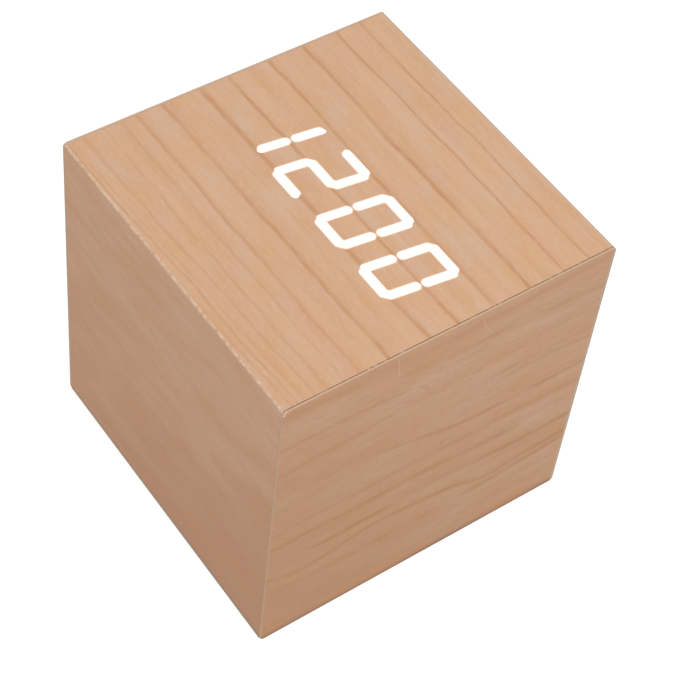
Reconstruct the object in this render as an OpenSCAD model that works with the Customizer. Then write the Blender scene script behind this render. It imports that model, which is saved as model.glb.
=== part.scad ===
// Wooden cube clock: a box of mitred boards under wood veneer, with lit digits that shine
// through the display face, and a black panel with keys, a power socket and a battery bay
// at its back. The clock lies on its back with the display up. X runs along the digits,
// Y points to the tops of the digits and Z is up. The origin is the middle of the back rim.

/* [Case] */
// Edge length of the cube
cube_size = 62; // [56:0.5:75]
// Thickness of the four box boards
board_t = 3; // [2.5:0.1:3.8]
// Thickness of the board behind the display face
front_board_t = 3; // [2:0.5:4]
// Thickness of the wood veneer
veneer_t = 0.3; // [0.2:0.05:0.5]
// Outer radius where the veneer folds over the display edges
fold_r = 0.6; // [0.55:0.05:1.5]
// Gap between the folded veneer and the end veneers
seam_gap = 0.2; // [0.1:0.05:0.4]
// How far the eight corners of the cube are worn in
corner_wear = 0.3; // [0.15:0.05:0.7]
// Gap around pieces that sit inside the box
box_gap = 0.2; // [0.1:0.05:0.3]
// Width of a corner post
post_w = 6; // [5:0.5:7]

/* [Display] */
// Hours shown
shown_hours = 12; // [0:1:23]
// Minutes shown
shown_minutes = 0; // [0:1:59]
// Distance from one digit to the next
digit_pitch = 11.7; // [10:0.1:12]
// Width of a digit between the middles of its upright strokes
digit_w = 6.3; // [5:0.1:7]
// Height of half a digit between the middles of its bars
half_digit_h = 5.95; // [5:0.05:7]
// Width of a stroke
stroke_w = 1.65; // [1.3:0.05:2]
// Rounding of the lit corners
tip_r = 0.5; // [0.1:0.02:0.6]
// Further cut of the bevel where two strokes meet at a corner
corner_cut = 0.3; // [0:0.05:0.5]
// Lean of the digits in degrees
digit_lean = 7.5; // [0:0.5:12]
// Offset of the digits from the middle of the face, along the digits
digits_x = 0.8; // [-1:0.05:1]
// Offset of the digits from the middle of the face, upwards
digits_y = 0.35; // [-2:0.05:2]
// Thickness of the diffuser sheet
diffuser_t = 0.3; // [0.2:0.1:0.6]
// Depth of the segment mask
mask_h = 6; // [5:0.5:8]
// Rim of the segment mask around the digits
mask_rim = 0.8; // [0.6:0.1:1.4]
// Wall between neighbouring cells of the segment mask
cell_wall = 0.5; // [0.3:0.05:0.7]
// Thickness of the display board
led_board_t = 1.6; // [1:0.1:2]
// Length of a light-emitting diode
led_l = 1.6; // [1:0.1:2]
// Width of a light-emitting diode
led_w = 0.8; // [0.4:0.1:1.1]
// Height of a light-emitting diode
led_h = 0.6; // [0.3:0.1:1]

/* [Back panel] */
// Depth of the back panel inside the rim
panel_recess = 0.8; // [0.6:0.1:2]
// Thickness of the back panel and of the battery door
panel_t = 2; // [1.9:0.1:3]
// Diameter of a sound hole
sound_hole_d = 1.6; // [0.8:0.1:2.5]
// Distance from one sound hole to the next
sound_pitch = 3.2; // [2.8:0.1:4]

/* [Battery bay] */
// Diameter of a battery cell
cell_d = 10.5; // [9.5:0.1:11.5]
// Length of a battery cell with its nub
cell_l = 44.5; // [40:0.1:50]
// Diameter of the nub
nub_d = 3.8; // [2:0.1:5]
// Length of the nub
nub_l = 0.8; // [0.5:0.1:1.5]
// Gap between neighbouring cells
cell_gap = 0.5; // [0.3:0.1:0.6]
// Gap between the outer cells and the bay's long walls
bay_side_gap = 0.45; // [0.3:0.05:0.5]
// Gap over and under the cells
cell_room = 0.25; // [0.2:0.05:0.8]
// Wall of the battery bay
bay_wall = 1.2; // [0.8:0.1:1.6]
// Thickness of the contact plates
contact_t = 0.4; // [0.3:0.05:0.45]
// Width and height of the contact plate of one cell
contact_w = 8; // [6:0.5:9]
// Width of a solder tag
tag_w = 3; // [2:0.5:5]
// Length of a solder tag above the bay
tag_l = 2.5; // [1.5:0.5:4]
// Length of a pressed contact spring
spring_l = 3.2; // [2.8:0.1:3.3]
// Mean radius of a contact spring
spring_r = 2.6; // [1.5:0.1:3.5]
// Wire diameter of a contact spring
spring_wire_d = 0.5; // [0.3:0.05:0.55]
// Turns of a contact spring
spring_turns = 2.5; // [1.5:0.5:2.5]

/* [Battery door] */
// Gap around the door
door_gap = 0.25; // [0.2:0.05:0.4]
// Radius of the hinge pins
pin_r = 0.6; // [0.4:0.05:0.7]
// Radial clearance of the hinge pins in their bores
pin_clearance = 0.05; // [0.02:0.01:0.09]
// Length of a hinge pin inside its bore
pin_hold = 1; // [0.6:0.1:1.1]
// Width of the snap tongue
tongue_w = 10; // [6:0.5:16]
// Length of the snap tongue
tongue_l = 6; // [4:0.5:10]
// Width of the slots beside the snap tongue
tongue_slot = 0.6; // [0.4:0.1:1]
// Height of the finger ribs on the snap tongue
rib_h = 0.4; // [0.2:0.05:0.5]

/* [Keys] */
// Diameter of a key cap
key_d = 4.6; // [3.6:0.1:4.8]
// Distance from one key to the next
key_pitch = 6.8; // [6.5:0.1:8]
// Gap around a key cap in its hole
key_gap = 0.2; // [0.15:0.05:0.3]
// Width of the flange that keeps a key cap in the panel
key_flange_w = 0.6; // [0.4:0.05:0.7]
// Thickness of that flange
key_flange_t = 0.8; // [0.5:0.1:1.2]
// How far a key cap stands out of the panel
key_proud = 0.5; // [0.2:0.1:0.5]
// Travel of a key
key_travel = 0.3; // [0.2:0.05:0.4]
// Width of a key switch
switch_w = 4.5; // [4:0.1:4.7]
// Height of a key switch
switch_h = 3.8; // [3:0.1:5]
// Radius of a switch plunger
plunger_r = 1.2; // [0.8:0.1:1.5]
// Length of a switch plunger outside its switch
plunger_l = 1; // [0.6:0.1:1.5]
// Thickness of the key board
key_board_t = 1.2; // [0.8:0.1:1.6]

/* [Power socket] */
// Width of the power socket
socket_w = 6.5; // [5.5:0.1:6.7]
// Radius of the socket's bore
socket_bore_r = 1.85; // [1.6:0.05:2]
// Depth of the socket's bore
socket_bore_l = 5; // [3.5:0.1:5.2]
// Radius of the socket's centre pin
socket_pin_r = 0.65; // [0.3:0.05:0.8]
// How far the centre pin stays inside the socket's mouth
socket_pin_inset = 0.6; // [0.3:0.1:1.5]

/* [Screws] */
// Shank radius of a case screw
case_screw_r = 1; // [0.8:0.05:1.2]
// Shank length of a case screw
case_screw_l = 8; // [5:0.5:12]
// Head radius of a case screw
case_head_r = 1.9; // [1.6:0.1:2.4]
// Head height of a case screw
case_head_h = 1.1; // [0.8:0.1:1.1]
// Shank radius of a key board screw
key_screw_r = 0.8; // [0.6:0.05:1]
// Shank length of a key board screw
key_screw_l = 5; // [3:0.5:6]
// Radius of a screw boss for the key board
boss_r = 2; // [1.6:0.1:2.1]
// Radial gap around a screw in its pilot hole
pilot_gap = 0.05; // [0.02:0.01:0.1]

/* [Hidden] */
$fn = 64;

// Colours
wood = [0.84, 0.67, 0.54];
end_wood = [0.75, 0.6, 0.48];
fibreboard = [0.62, 0.47, 0.33];
light = [1, 1, 0.98];
milky = [0.93, 0.93, 0.9];
black_plastic = [0.06, 0.06, 0.065];
dark_plastic = [0.14, 0.14, 0.15];
circuit_green = [0.09, 0.3, 0.17];
steel = [0.72, 0.73, 0.74];
brass = [0.78, 0.63, 0.3];
red = [0.72, 0.08, 0.07];
grey = [0.55, 0.56, 0.58];

// How far a cut runs past the face that it opens
past = 1;

// Case
half = cube_size / 2;
corner_reach = sqrt(3) * half - corner_wear;
board_out = half - veneer_t;
board_in = board_out - board_t;
board_top = cube_size - veneer_t;
fold_in_r = fold_r - veneer_t;
wrap_l = 2 * (board_out - seam_gap);

// Display stack, from the veneer down
mask_top = board_top - diffuser_t;
led_top = mask_top - mask_h;
led_bottom = led_top - led_board_t;
led_board_w = 2 * (board_in - box_gap);

// Digits
round_limit = 0.45;
bevel_reach = stroke_w / 2 + corner_cut;
lit_r = min(tip_r, round_limit * bevel_reach);
lit_overlap = 0.03;
arc_steps = 5;
lean = tan(digit_lean);
digit_reach_x = 1.5 * digit_pitch + digit_w / 2 + stroke_w / 2 + (half_digit_h + stroke_w / 2) * lean;
digit_reach_y = half_digit_h + stroke_w / 2;
mask_w = 2 * (digit_reach_x + mask_rim);
mask_d = 2 * (digit_reach_y + mask_rim);
cell_setback = cell_wall / sqrt(2);

// Back panel and battery bay
panel_z = panel_recess;
panel_top = panel_z + panel_t;
panel_half = board_in - box_gap;
cell_pitch = cell_d + cell_gap;
cell_z = panel_top + cell_room + cell_d / 2;
bay_in_x = cell_l + spring_l + 2 * contact_t;
bay_in_y = 2 * cell_pitch + cell_d + 2 * bay_side_gap;
bay_out_x = bay_in_x + 2 * bay_wall;
bay_out_y = bay_in_y + 2 * bay_wall;
bay_ceiling = cell_z + cell_d / 2 + cell_room;
bay_top = bay_ceiling + bay_wall;
tag_top = bay_top + tag_l;
tag_play = 0.1;

// Battery door
door_w = bay_in_x - 2 * door_gap;
hinge_y = door_gap + panel_t / 2 - bay_in_y / 2;
hinge_z = panel_z + panel_t / 2;
door_end_y = bay_in_y / 2 - door_gap;
pin_bore_r = pin_r + pin_clearance;
pin_end_gap = 0.2;
rib_w = 0.8;
rib_pitch = 1.6;
rib_count = 3;

// Corner posts
post_in = board_in - post_w;
post_mid = board_in - post_w / 2;
head_gap = 0.2;
head_sink = 0.1;
counterbore_r = case_head_r + head_gap;
counterbore_l = case_head_h + head_sink;

// Keys, in the strip between the bay and the upper board
strip_y = (bay_out_y / 2 + panel_half) / 2;
strip_gap = 0.5;
key_rest_gap = 0.05;
key_flange_z = panel_top + key_rest_gap;
key_top = key_flange_z + key_flange_t;
key_z = panel_z - key_proud;
key_edge = 0.3;
key_flange_r = key_d / 2 + key_gap + key_flange_w;
key_reach = max(key_flange_r, switch_w / 2);
switch_z = key_top + plunger_l;
plunger_in = 0.4;
plunger_gap = 0.15;
plunger_room = 0.2;
key_board_z = switch_z + switch_h;
key_board_top = key_board_z + key_board_t;
key_board_w = 2 * (post_in - strip_gap);
key_board_d = panel_half - bay_out_y / 2 - 2 * strip_gap;
boss_edge = 0.3;
boss_x = key_board_w / 2 - boss_r - boss_edge;
first_key_x = boss_r + strip_gap + key_reach - boss_x;
function key_x(i) = first_key_x + i * key_pitch;
key_head_w = 0.7;
key_head_r = key_screw_r + key_head_w;
key_head_h = 0.9;

// Power socket, in the same strip
power_x = boss_x - boss_r - strip_gap - socket_w / 2;
socket_gap = 0.1;
socket_z = panel_top + socket_gap;
power_hole_gap = 0.25;
power_hole_r = socket_bore_r + power_hole_gap;

// Pieces under the display board
chip_size = [12.8, 7.5, 2.3];
chip_legs = 10;
leg_size = [0.4, 1.2, 0.5];
leg_pitch = 1.27;
clock_chip_at = [-10, 4];
driver_chip_at = [10, 4];
crystal_at = [-10, -5];
crystal_d = 2;
crystal_l = 6;
buzzer_at = [12, -11];
buzzer_d = 12;
buzzer_h = 8.5;
buzzer_hole_d = 2;
buzzer_hole_l = 3;
capacitor_at = [-13, -13];
capacitor_d = 6.3;
capacitor_h = 7;
resistor_size = [2, 1.25, 0.5];
resistor_count = 8;
resistor_pitch = 3;
resistor_y = 12;

// Sockets, ribbon and leads
battery_socket_size = [6, 4.5, 6];
battery_socket_at = [0, -15];
ribbon_socket_size = [10, 4, 5];
ribbon_w = 8;
ribbon_t = 0.9;
ribbon_bow = 5;
ribbon_steps = 16;
lead_r = 0.6;
lead_pitch = 2.5;
lead_pull = 16;
lead_steps = 14;
lead_sides = 8;
lead_end_gap = 0.05;

// Case profile and case cuts

// Outline of the case seen along X, with its two top corners round
module face_profile(half_w, top, r, bottom) {
    translate([-half_w, bottom])
        square([2 * half_w, top - r - bottom]);
    translate([r - half_w, bottom])
        square([2 * (half_w - r), top - bottom]);
    for (side = [-1, 1])
        translate([side * (half_w - r), top - r])
            circle(r);
}

// Keeps what lies inside the worn corners of the cube
module within_corners()
    intersection() {
        children();
        translate([0, 0, half])
            sphere(corner_reach, $fn = 180);
    }

// Extrudes an outline of the YZ plane along X, centred
module along_x(length)
    rotate([90, 0, 90])
        linear_extrude(length, center = true)
            children();

// Room for the battery bay, which reaches into the boards where the bay is longer than the box
module bay_room()
    translate([-bay_out_x / 2 - box_gap, -bay_out_y / 2 - box_gap, -past])
        cube([bay_out_x + 2 * box_gap, bay_out_y + 2 * box_gap, bay_top + box_gap + past]);

// One side board of the box with mitred ends, turned about Z from the +X side
module box_board(turn)
    color(fibreboard)
        difference() {
            intersection() {
                rotate([0, 0, turn])
                    linear_extrude(board_top)
                        polygon([
                            [board_in, -board_in],
                            [board_out, -board_out],
                            [board_out, board_out],
                            [board_in, board_in]
                        ]);
                within_corners()
                    along_x(2 * half)
                        face_profile(board_out, board_top, fold_in_r, 0);
            }
            bay_room();
        }

// A veneer on one end of the case
module end_veneer(side)
    color(end_wood)
        within_corners()
            translate([side * (half - veneer_t / 2), 0, 0])
                along_x(veneer_t)
                    face_profile(half, cube_size, fold_r, 0);

// Places its children at the four corner posts
module at_posts()
    for (x = [-post_mid, post_mid], y = [-post_mid, post_mid])
        translate([x, y, 0])
            children();

// A pan screw with its head up and its seat at the origin
module screw(shank_r, shank_l, head_r, head_h) {
    slot_w = head_r / 3;
    slot_l = 1.3 * head_r;
    slot_depth = head_h / 2;
    translate([0, 0, -shank_l])
        cylinder(r = shank_r, h = shank_l + head_h / 2);
    difference() {
        cylinder(r = head_r, h = head_h);
        for (turn = [0, 90])
            rotate([0, 0, turn])
                translate([-slot_l / 2, -slot_w / 2, head_h - slot_depth])
                    cube([slot_l, slot_w, slot_depth + past]);
    }
}

// Digits

// Strokes of a digit: start joint, way along, way out, length, and whether each end is at a corner
STROKES = [
    [[-digit_w / 2, half_digit_h], [1, 0], [0, 1], digit_w, true, true],
    [[digit_w / 2, half_digit_h], [0, -1], [1, 0], half_digit_h, true, false],
    [[digit_w / 2, 0], [0, -1], [1, 0], half_digit_h, false, true],
    [[digit_w / 2, -half_digit_h], [-1, 0], [0, -1], digit_w, true, true],
    [[-digit_w / 2, -half_digit_h], [0, 1], [-1, 0], half_digit_h, true, false],
    [[-digit_w / 2, 0], [0, 1], [-1, 0], half_digit_h, false, true],
    [[-digit_w / 2, 0], [1, 0], [0, 1], digit_w, false, false]
];

// Strokes lit for each figure, and none for a blank
LIT = [
    [0, 1, 2, 3, 4, 5],
    [1, 2],
    [0, 1, 3, 4, 6],
    [0, 1, 2, 3, 6],
    [1, 2, 5, 6],
    [0, 2, 3, 5, 6],
    [0, 2, 3, 4, 5, 6],
    [0, 1, 2],
    [0, 1, 2, 3, 4, 5, 6],
    [0, 1, 2, 3, 5, 6],
    []
];
blank = 10;
shown = [
    shown_hours < 10 ? blank : floor(shown_hours / 10),
    shown_hours % 10,
    floor(shown_minutes / 10),
    shown_minutes % 10
];
digit_count = len(shown);

function unit(v) = v / norm(v);

// One end of a stroke that starts at [0, 0] and runs along +X, with its outer side at +Y.
// A corner end is mitred and bevelled. Any other end is a point.
function stroke_end(w, setback, corner) =
    corner
    ? [
        [corner_cut, w / 2],
        [(setback + corner_cut - w / 2) / 2, (setback - corner_cut + w / 2) / 2],
        [w / 2 + setback, -w / 2]
    ]
    : [[w / 2 + setback, w / 2], [setback, 0], [w / 2 + setback, -w / 2]];

// The same end seen from the other end of a stroke, in the opposite order
function far_end(end, length) = [for (i = [2 : -1 : 0]) [length - end[i].x, end[i].y]];

function lean_point(p) = [p.x + p.y * lean, p.y];

// Outline of one stroke, upright
function stroke_outline(k, w, setback) =
    let (
        s = STROKES[k],
        near = stroke_end(w, setback, s[4]),
        far = far_end(stroke_end(w, setback, s[5]), s[3])
    )
    [for (p = concat(near, far)) s[0] + p.x * s[1] + p.y * s[2]];

// Points of the arc that rounds one corner of an outline
function corner_arc(before, at, after, r) =
    let (
        way_in = unit(before - at),
        way_out = unit(after - at),
        half_angle = acos(way_in * way_out) / 2,
        centre = at + unit(way_in + way_out) * r / sin(half_angle),
        first = at + way_in * r / tan(half_angle) - centre,
        last = at + way_out * r / tan(half_angle) - centre,
        sweep = 180 - 2 * half_angle
    )
    [
        for (i = [0 : arc_steps])
            let (t = i / arc_steps)
            centre + (first * sin((1 - t) * sweep) + last * sin(t * sweep)) / sin(sweep)
    ];

function rounded(points, r) =
    let (n = len(points))
    [for (i = [0 : n - 1]) each corner_arc(points[(i + n - 1) % n], points[i], points[(i + 1) % n], r)];

function digit_at(i) = [digits_x + (i - (digit_count - 1) / 2) * digit_pitch, digits_y];

// Outlines of the strokes that are lit
module lit_outlines()
    for (i = [0 : digit_count - 1])
        translate(digit_at(i))
            for (k = LIT[shown[i]])
                polygon([
                    for (p = rounded(stroke_outline(k, stroke_w, -lit_overlap), lit_r))
                        lean_point(p)
                ]);

// Outlines of the mask's cells, one for each stroke of each digit
module cell_outlines()
    for (i = [0 : digit_count - 1])
        translate(digit_at(i))
            for (k = [0 : len(STROKES) - 1])
                polygon([for (p = stroke_outline(k, stroke_w, cell_setback)) lean_point(p)]);

module mask_outline(extra)
    translate([digits_x, digits_y])
        square([mask_w + 2 * extra, mask_d + 2 * extra], center = true);

// Tubes along a path

function way_at(path, i) = unit(path[min(i + 1, len(path) - 1)] - path[max(i - 1, 0)]);

function ring_at(path, i, r, sides, side_way) =
    let (
        ahead = way_at(path, i),
        u = unit(cross(ahead, side_way)),
        v = cross(ahead, u)
    )
    [for (k = [0 : sides - 1]) path[i] + r * (cos(360 * k / sides) * u + sin(360 * k / sides) * v)];

// A round tube of triangles; side_way is a direction that the path never runs along
module tube(path, r, sides, side_way) {
    rings = len(path);
    points = [for (i = [0 : rings - 1]) each ring_at(path, i, r, sides, side_way)];
    first = [for (k = [1 : sides - 2]) [0, k, k + 1]];
    last_ring = (rings - 1) * sides;
    last = [for (k = [1 : sides - 2]) [last_ring, last_ring + k + 1, last_ring + k]];
    walls = [
        for (i = [0 : rings - 2], k = [0 : sides - 1])
            let (
                a = i * sides + k,
                b = i * sides + (k + 1) % sides
            )
            each [[a, a + sides, b], [b, a + sides, b + sides]]
    ];
    polyhedron(points, concat(first, walls, last));
}

// Boards and veneers

module base_board() box_board(-90);
module right_board() box_board(0);
module upper_board() box_board(90);
module left_board() box_board(180);

module front_board()
    color(fibreboard)
        translate([0, 0, board_top - front_board_t])
            linear_extrude(front_board_t)
                difference() {
                    square(2 * board_in, center = true);
                    mask_outline(box_gap);
                }

module corner_posts()
    color(fibreboard)
        at_posts()
            difference() {
                translate([-post_w / 2, -post_w / 2, panel_top])
                    cube([post_w, post_w, led_bottom - panel_top]);
                translate([0, 0, panel_top - past])
                    cylinder(r = case_screw_r + pilot_gap, h = case_screw_l + past);
                translate([0, 0, led_bottom - case_screw_l])
                    cylinder(r = case_screw_r + pilot_gap, h = case_screw_l + past);
            }

module veneer_wrap()
    color(wood)
        difference() {
            within_corners()
                along_x(wrap_l)
                    difference() {
                        face_profile(half, cube_size, fold_r, 0);
                        face_profile(board_out, board_top, fold_in_r, -past);
                    }
            translate([0, 0, board_top - past])
                linear_extrude(veneer_t + 2 * past)
                    lit_outlines();
        }

module right_veneer() end_veneer(1);
module left_veneer() end_veneer(-1);

// Display

module lit_segments()
    color(light)
        translate([0, 0, board_top])
            linear_extrude(veneer_t)
                lit_outlines();

module diffuser_sheet()
    color(milky)
        translate([0, 0, mask_top])
            linear_extrude(diffuser_t)
                mask_outline(0);

module segment_mask()
    color(dark_plastic)
        translate([0, 0, led_top])
            linear_extrude(mask_h)
                difference() {
                    mask_outline(0);
                    cell_outlines();
                }

module led_board()
    color(circuit_green)
        difference() {
            translate([-led_board_w / 2, -led_board_w / 2, led_bottom])
                cube([led_board_w, led_board_w, led_board_t]);
            translate([0, 0, led_bottom - past])
                at_posts()
                    cylinder(r = case_screw_r + 2 * pilot_gap, h = led_board_t + 2 * past);
        }

module segment_leds()
    color(milky)
        for (i = [0 : digit_count - 1], s = STROKES)
            let (
                mid = digit_at(i) + lean_point(s[0] + s[1] * s[3] / 2),
                along = lean_point(s[1])
            )
            translate([mid.x, mid.y, led_top])
                rotate([0, 0, atan2(along.y, along.x)])
                    translate([-led_l / 2, -led_w / 2, 0])
                        cube([led_l, led_w, led_h]);

module led_board_screws()
    color(steel)
        translate([0, 0, led_top])
            at_posts()
                screw(case_screw_r, case_screw_l, case_head_r, case_head_h);

// A chip with gull-wing legs, hung from the display board
module chip(at)
    translate([at.x, at.y, led_bottom]) {
        translate([-chip_size.x / 2, -chip_size.y / 2, -chip_size.z])
            cube(chip_size);
        for (i = [0 : chip_legs - 1], side = [-1, 1])
            translate([
                (i - (chip_legs - 1) / 2) * leg_pitch - leg_size.x / 2,
                side * (chip_size.y + leg_size.y) / 2 - leg_size.y / 2,
                -leg_size.z
            ])
                cube(leg_size);
    }

module clock_chip()
    color(black_plastic)
        chip(clock_chip_at);

module driver_chip()
    color(black_plastic)
        chip(driver_chip_at);

module clock_crystal()
    color(steel)
        translate([crystal_at.x - crystal_l / 2, crystal_at.y, led_bottom - crystal_d / 2])
            rotate([0, 90, 0])
                cylinder(d = crystal_d, h = crystal_l);

module buzzer()
    color(black_plastic)
        translate([buzzer_at.x, buzzer_at.y, led_bottom - buzzer_h])
            difference() {
                cylinder(d = buzzer_d, h = buzzer_h);
                translate([0, 0, -past])
                    cylinder(d = buzzer_hole_d, h = buzzer_hole_l + past);
            }

module buffer_capacitor()
    color(dark_plastic)
        translate([capacitor_at.x, capacitor_at.y, led_bottom - capacitor_h])
            cylinder(d = capacitor_d, h = capacitor_h);

module segment_resistors()
    color(black_plastic)
        for (i = [0 : resistor_count - 1])
            translate([
                (i - (resistor_count - 1) / 2) * resistor_pitch - resistor_size.x / 2,
                resistor_y - resistor_size.y / 2,
                led_bottom - resistor_size.z
            ])
                cube(resistor_size);

module battery_socket()
    color(milky)
        translate([
            battery_socket_at.x - battery_socket_size.x / 2,
            battery_socket_at.y - battery_socket_size.y / 2,
            led_bottom - battery_socket_size.z
        ])
            cube(battery_socket_size);

module ribbon_sockets()
    color(milky)
        for (z = [key_board_top, led_bottom - ribbon_socket_size.z])
            translate([key_x(1) - ribbon_socket_size.x / 2, strip_y - ribbon_socket_size.y / 2, z])
                cube(ribbon_socket_size);

// Middle of the ribbon at a share t of its height
function ribbon_mid(t) = [
    strip_y - ribbon_bow * (1 - cos(360 * t)) / 2,
    ribbon_bottom + t * (ribbon_top - ribbon_bottom)
];
ribbon_bottom = key_board_top + ribbon_socket_size.z;
ribbon_top = led_bottom - ribbon_socket_size.z;

module key_ribbon()
    color(grey)
        translate([key_x(1), 0, 0])
            along_x(ribbon_w)
                polygon(concat(
                    [for (i = [0 : ribbon_steps]) ribbon_mid(i / ribbon_steps) + [ribbon_t / 2, 0]],
                    [for (i = [ribbon_steps : -1 : 0]) ribbon_mid(i / ribbon_steps) - [ribbon_t / 2, 0]]
                ));

// Back

module back_panel()
    color(black_plastic)
        difference() {
            union() {
                translate([-panel_half, -panel_half, panel_z])
                    cube([2 * panel_half, 2 * panel_half, panel_t]);
                translate([-bay_out_x / 2, -bay_out_y / 2, panel_z])
                    cube([bay_out_x, bay_out_y, bay_top - panel_z]);
                for (side = [-1, 1])
                    translate([side * boss_x, strip_y, panel_z])
                        cylinder(r = boss_r, h = key_board_z - panel_z);
            }
            translate([-bay_in_x / 2, -bay_in_y / 2, panel_z - past])
                cube([bay_in_x, bay_in_y, bay_ceiling - panel_z + past]);
            for (side = [-1, 1])
                translate([side * bay_in_x / 2, hinge_y, hinge_z])
                    rotate([0, side * 90, 0])
                        translate([0, 0, -past])
                            cylinder(r = pin_bore_r, h = pin_hold + pin_end_gap + past);
            for (side = [-1, 1])
                translate([side * boss_x, strip_y, key_board_z - key_screw_l])
                    cylinder(r = key_screw_r + pilot_gap, h = key_screw_l + past);
            for (i = [0 : 2])
                translate([key_x(i), strip_y, panel_z - past])
                    cylinder(r = key_d / 2 + key_gap, h = panel_t + 2 * past);
            translate([power_x, strip_y, panel_z - past])
                cylinder(r = power_hole_r, h = panel_t + 2 * past);
            for (i = [-2 : 2])
                translate([i * sound_pitch, -strip_y, panel_z - past])
                    cylinder(d = sound_hole_d, h = panel_t + 2 * past);
            at_posts() {
                translate([0, 0, panel_z - past])
                    cylinder(r = case_screw_r + 2 * pilot_gap, h = panel_t + 2 * past);
                translate([0, 0, panel_z - past])
                    cylinder(r = counterbore_r, h = counterbore_l + past);
            }
            for (side = [-1, 1])
                translate([
                    side * (bay_in_x - contact_t) / 2 - contact_t / 2 - tag_play,
                    side * cell_pitch - tag_w / 2 - tag_play,
                    bay_ceiling - past
                ])
                    cube([contact_t + 2 * tag_play, tag_w + 2 * tag_play, bay_wall + 2 * past]);
        }

module back_panel_screws()
    color(steel)
        translate([0, 0, panel_z + counterbore_l])
            at_posts()
                mirror([0, 0, 1])
                    screw(case_screw_r, case_screw_l, case_head_r, case_head_h);

module battery_door()
    color(black_plastic)
        difference() {
            union() {
                translate([-door_w / 2, hinge_y, panel_z])
                    cube([door_w, door_end_y - hinge_y, panel_t]);
                translate([0, hinge_y, hinge_z])
                    rotate([0, 90, 0]) {
                        cylinder(d = panel_t, h = door_w, center = true);
                        cylinder(r = pin_r, h = bay_in_x + 2 * pin_hold, center = true);
                    }
                for (i = [0 : rib_count - 1])
                    translate([rib_w - tongue_w / 2, door_end_y - (i + 1) * rib_pitch, panel_z - rib_h])
                        cube([tongue_w - 2 * rib_w, rib_w, rib_h + past]);
            }
            for (side = [-1, 1])
                translate([
                    side * (tongue_w + tongue_slot) / 2 - tongue_slot / 2,
                    door_end_y - tongue_l,
                    panel_z - past
                ])
                    cube([tongue_slot, tongue_l + past, panel_t + 2 * past]);
        }

// Cells lie side by side, and each turns the other way from its neighbours
function cell_way(i) = i % 2 == 0 ? 1 : -1;
function cell_y(i) = (i - 1) * cell_pitch;

// Places its children at a cell's flat end, with +Z along the cell towards its nub
module at_cell(i)
    translate([cell_way(i) * (contact_t + spring_l - bay_in_x / 2), cell_y(i), cell_z])
        rotate([0, cell_way(i) * 90, 0])
            children();

module battery_cells()
    color(grey)
        for (i = [0 : 2])
            at_cell(i) {
                cylinder(d = cell_d, h = cell_l - nub_l);
                cylinder(d = nub_d, h = cell_l);
            }

// A contact plate on one end wall, from the first cell to the last that it joins
module contact_plate(side, first, last)
    translate([
        side * (bay_in_x - contact_t) / 2 - contact_t / 2,
        cell_y(first) - contact_w / 2,
        cell_z - contact_w / 2
    ])
        cube([contact_t, cell_y(last) - cell_y(first) + contact_w, contact_w]);

// The tag that takes an end plate up through the bay's ceiling
module contact_tag(side)
    translate([
        side * (bay_in_x - contact_t) / 2 - contact_t / 2,
        side * cell_pitch - tag_w / 2,
        cell_z
    ])
        cube([contact_t, tag_w, tag_top - cell_z]);

module battery_contacts()
    color(steel) {
        contact_plate(-1, 0, 0);
        contact_tag(-1);
        contact_plate(-1, 1, 2);
        contact_plate(1, 0, 1);
        contact_plate(1, 2, 2);
        contact_tag(1);
    }

// Contact springs, each one wire wound between a contact plate and a cell's flat end
spring_steps = 8;
spring_sides = 6;
spring_end_gap = 0.03;
spring_points = spring_turns * spring_steps;
spring_start = -spring_l + spring_wire_d / 2 + spring_end_gap;
spring_rise = spring_l - spring_wire_d - 2 * spring_end_gap;
spring_path = [
    for (i = [0 : spring_points])
        let (turn = 360 * i / spring_steps)
        [spring_r * cos(turn), spring_r * sin(turn), spring_start + spring_rise * i / spring_points]
];
spring_gap = min([
    for (i = [0 : spring_points], j = [0 : spring_points])
        if (j - i >= spring_steps / 2)
            norm(spring_path[i] - spring_path[j]) - spring_wire_d
]);
echo(least_gap_between_spring_turns = spring_gap);

module battery_springs()
    color(steel)
        for (i = [0 : 2])
            at_cell(i)
                tube(spring_path, spring_wire_d / 2, spring_sides, [0, 0, 1]);

// Route of a battery lead, from a solder tag up to the battery socket
function lead_point(from, to, t) =
    let (
        up = [0, 0, lead_pull],
        u = 1 - t
    )
    u * u * u * from + 3 * u * u * t * (from + up) + 3 * u * t * t * (to - up) + t * t * t * to;

module battery_lead(side)
    let (
        from = [side * (bay_in_x - contact_t) / 2, side * cell_pitch, tag_top + lead_end_gap],
        to = [
            battery_socket_at.x + side * lead_pitch / 2,
            battery_socket_at.y,
            led_bottom - battery_socket_size.z - lead_end_gap
        ]
    )
    tube([for (i = [0 : lead_steps]) lead_point(from, to, i / lead_steps)], lead_r, lead_sides, [0, 1, 0]);

module battery_lead_red()
    color(red)
        battery_lead(1);

module battery_lead_black()
    color(black_plastic)
        battery_lead(-1);

// Keys

module key_board()
    color(circuit_green)
        difference() {
            translate([-key_board_w / 2, strip_y - key_board_d / 2, key_board_z])
                cube([key_board_w, key_board_d, key_board_t]);
            for (side = [-1, 1])
                translate([side * boss_x, strip_y, key_board_z - past])
                    cylinder(r = key_screw_r + 2 * pilot_gap, h = key_board_t + 2 * past);
        }

module key_board_screws()
    color(steel)
        for (side = [-1, 1])
            translate([side * boss_x, strip_y, key_board_top])
                screw(key_screw_r, key_screw_l, key_head_r, key_head_h);

module key_switches()
    color(dark_plastic)
        for (i = [0 : 2])
            translate([key_x(i), strip_y, switch_z])
                difference() {
                    translate([-switch_w / 2, -switch_w / 2, 0])
                        cube([switch_w, switch_w, switch_h]);
                    translate([0, 0, -past])
                        cylinder(
                            r = plunger_r + plunger_gap,
                            h = plunger_in + key_travel + plunger_room + past
                        );
                }

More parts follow.
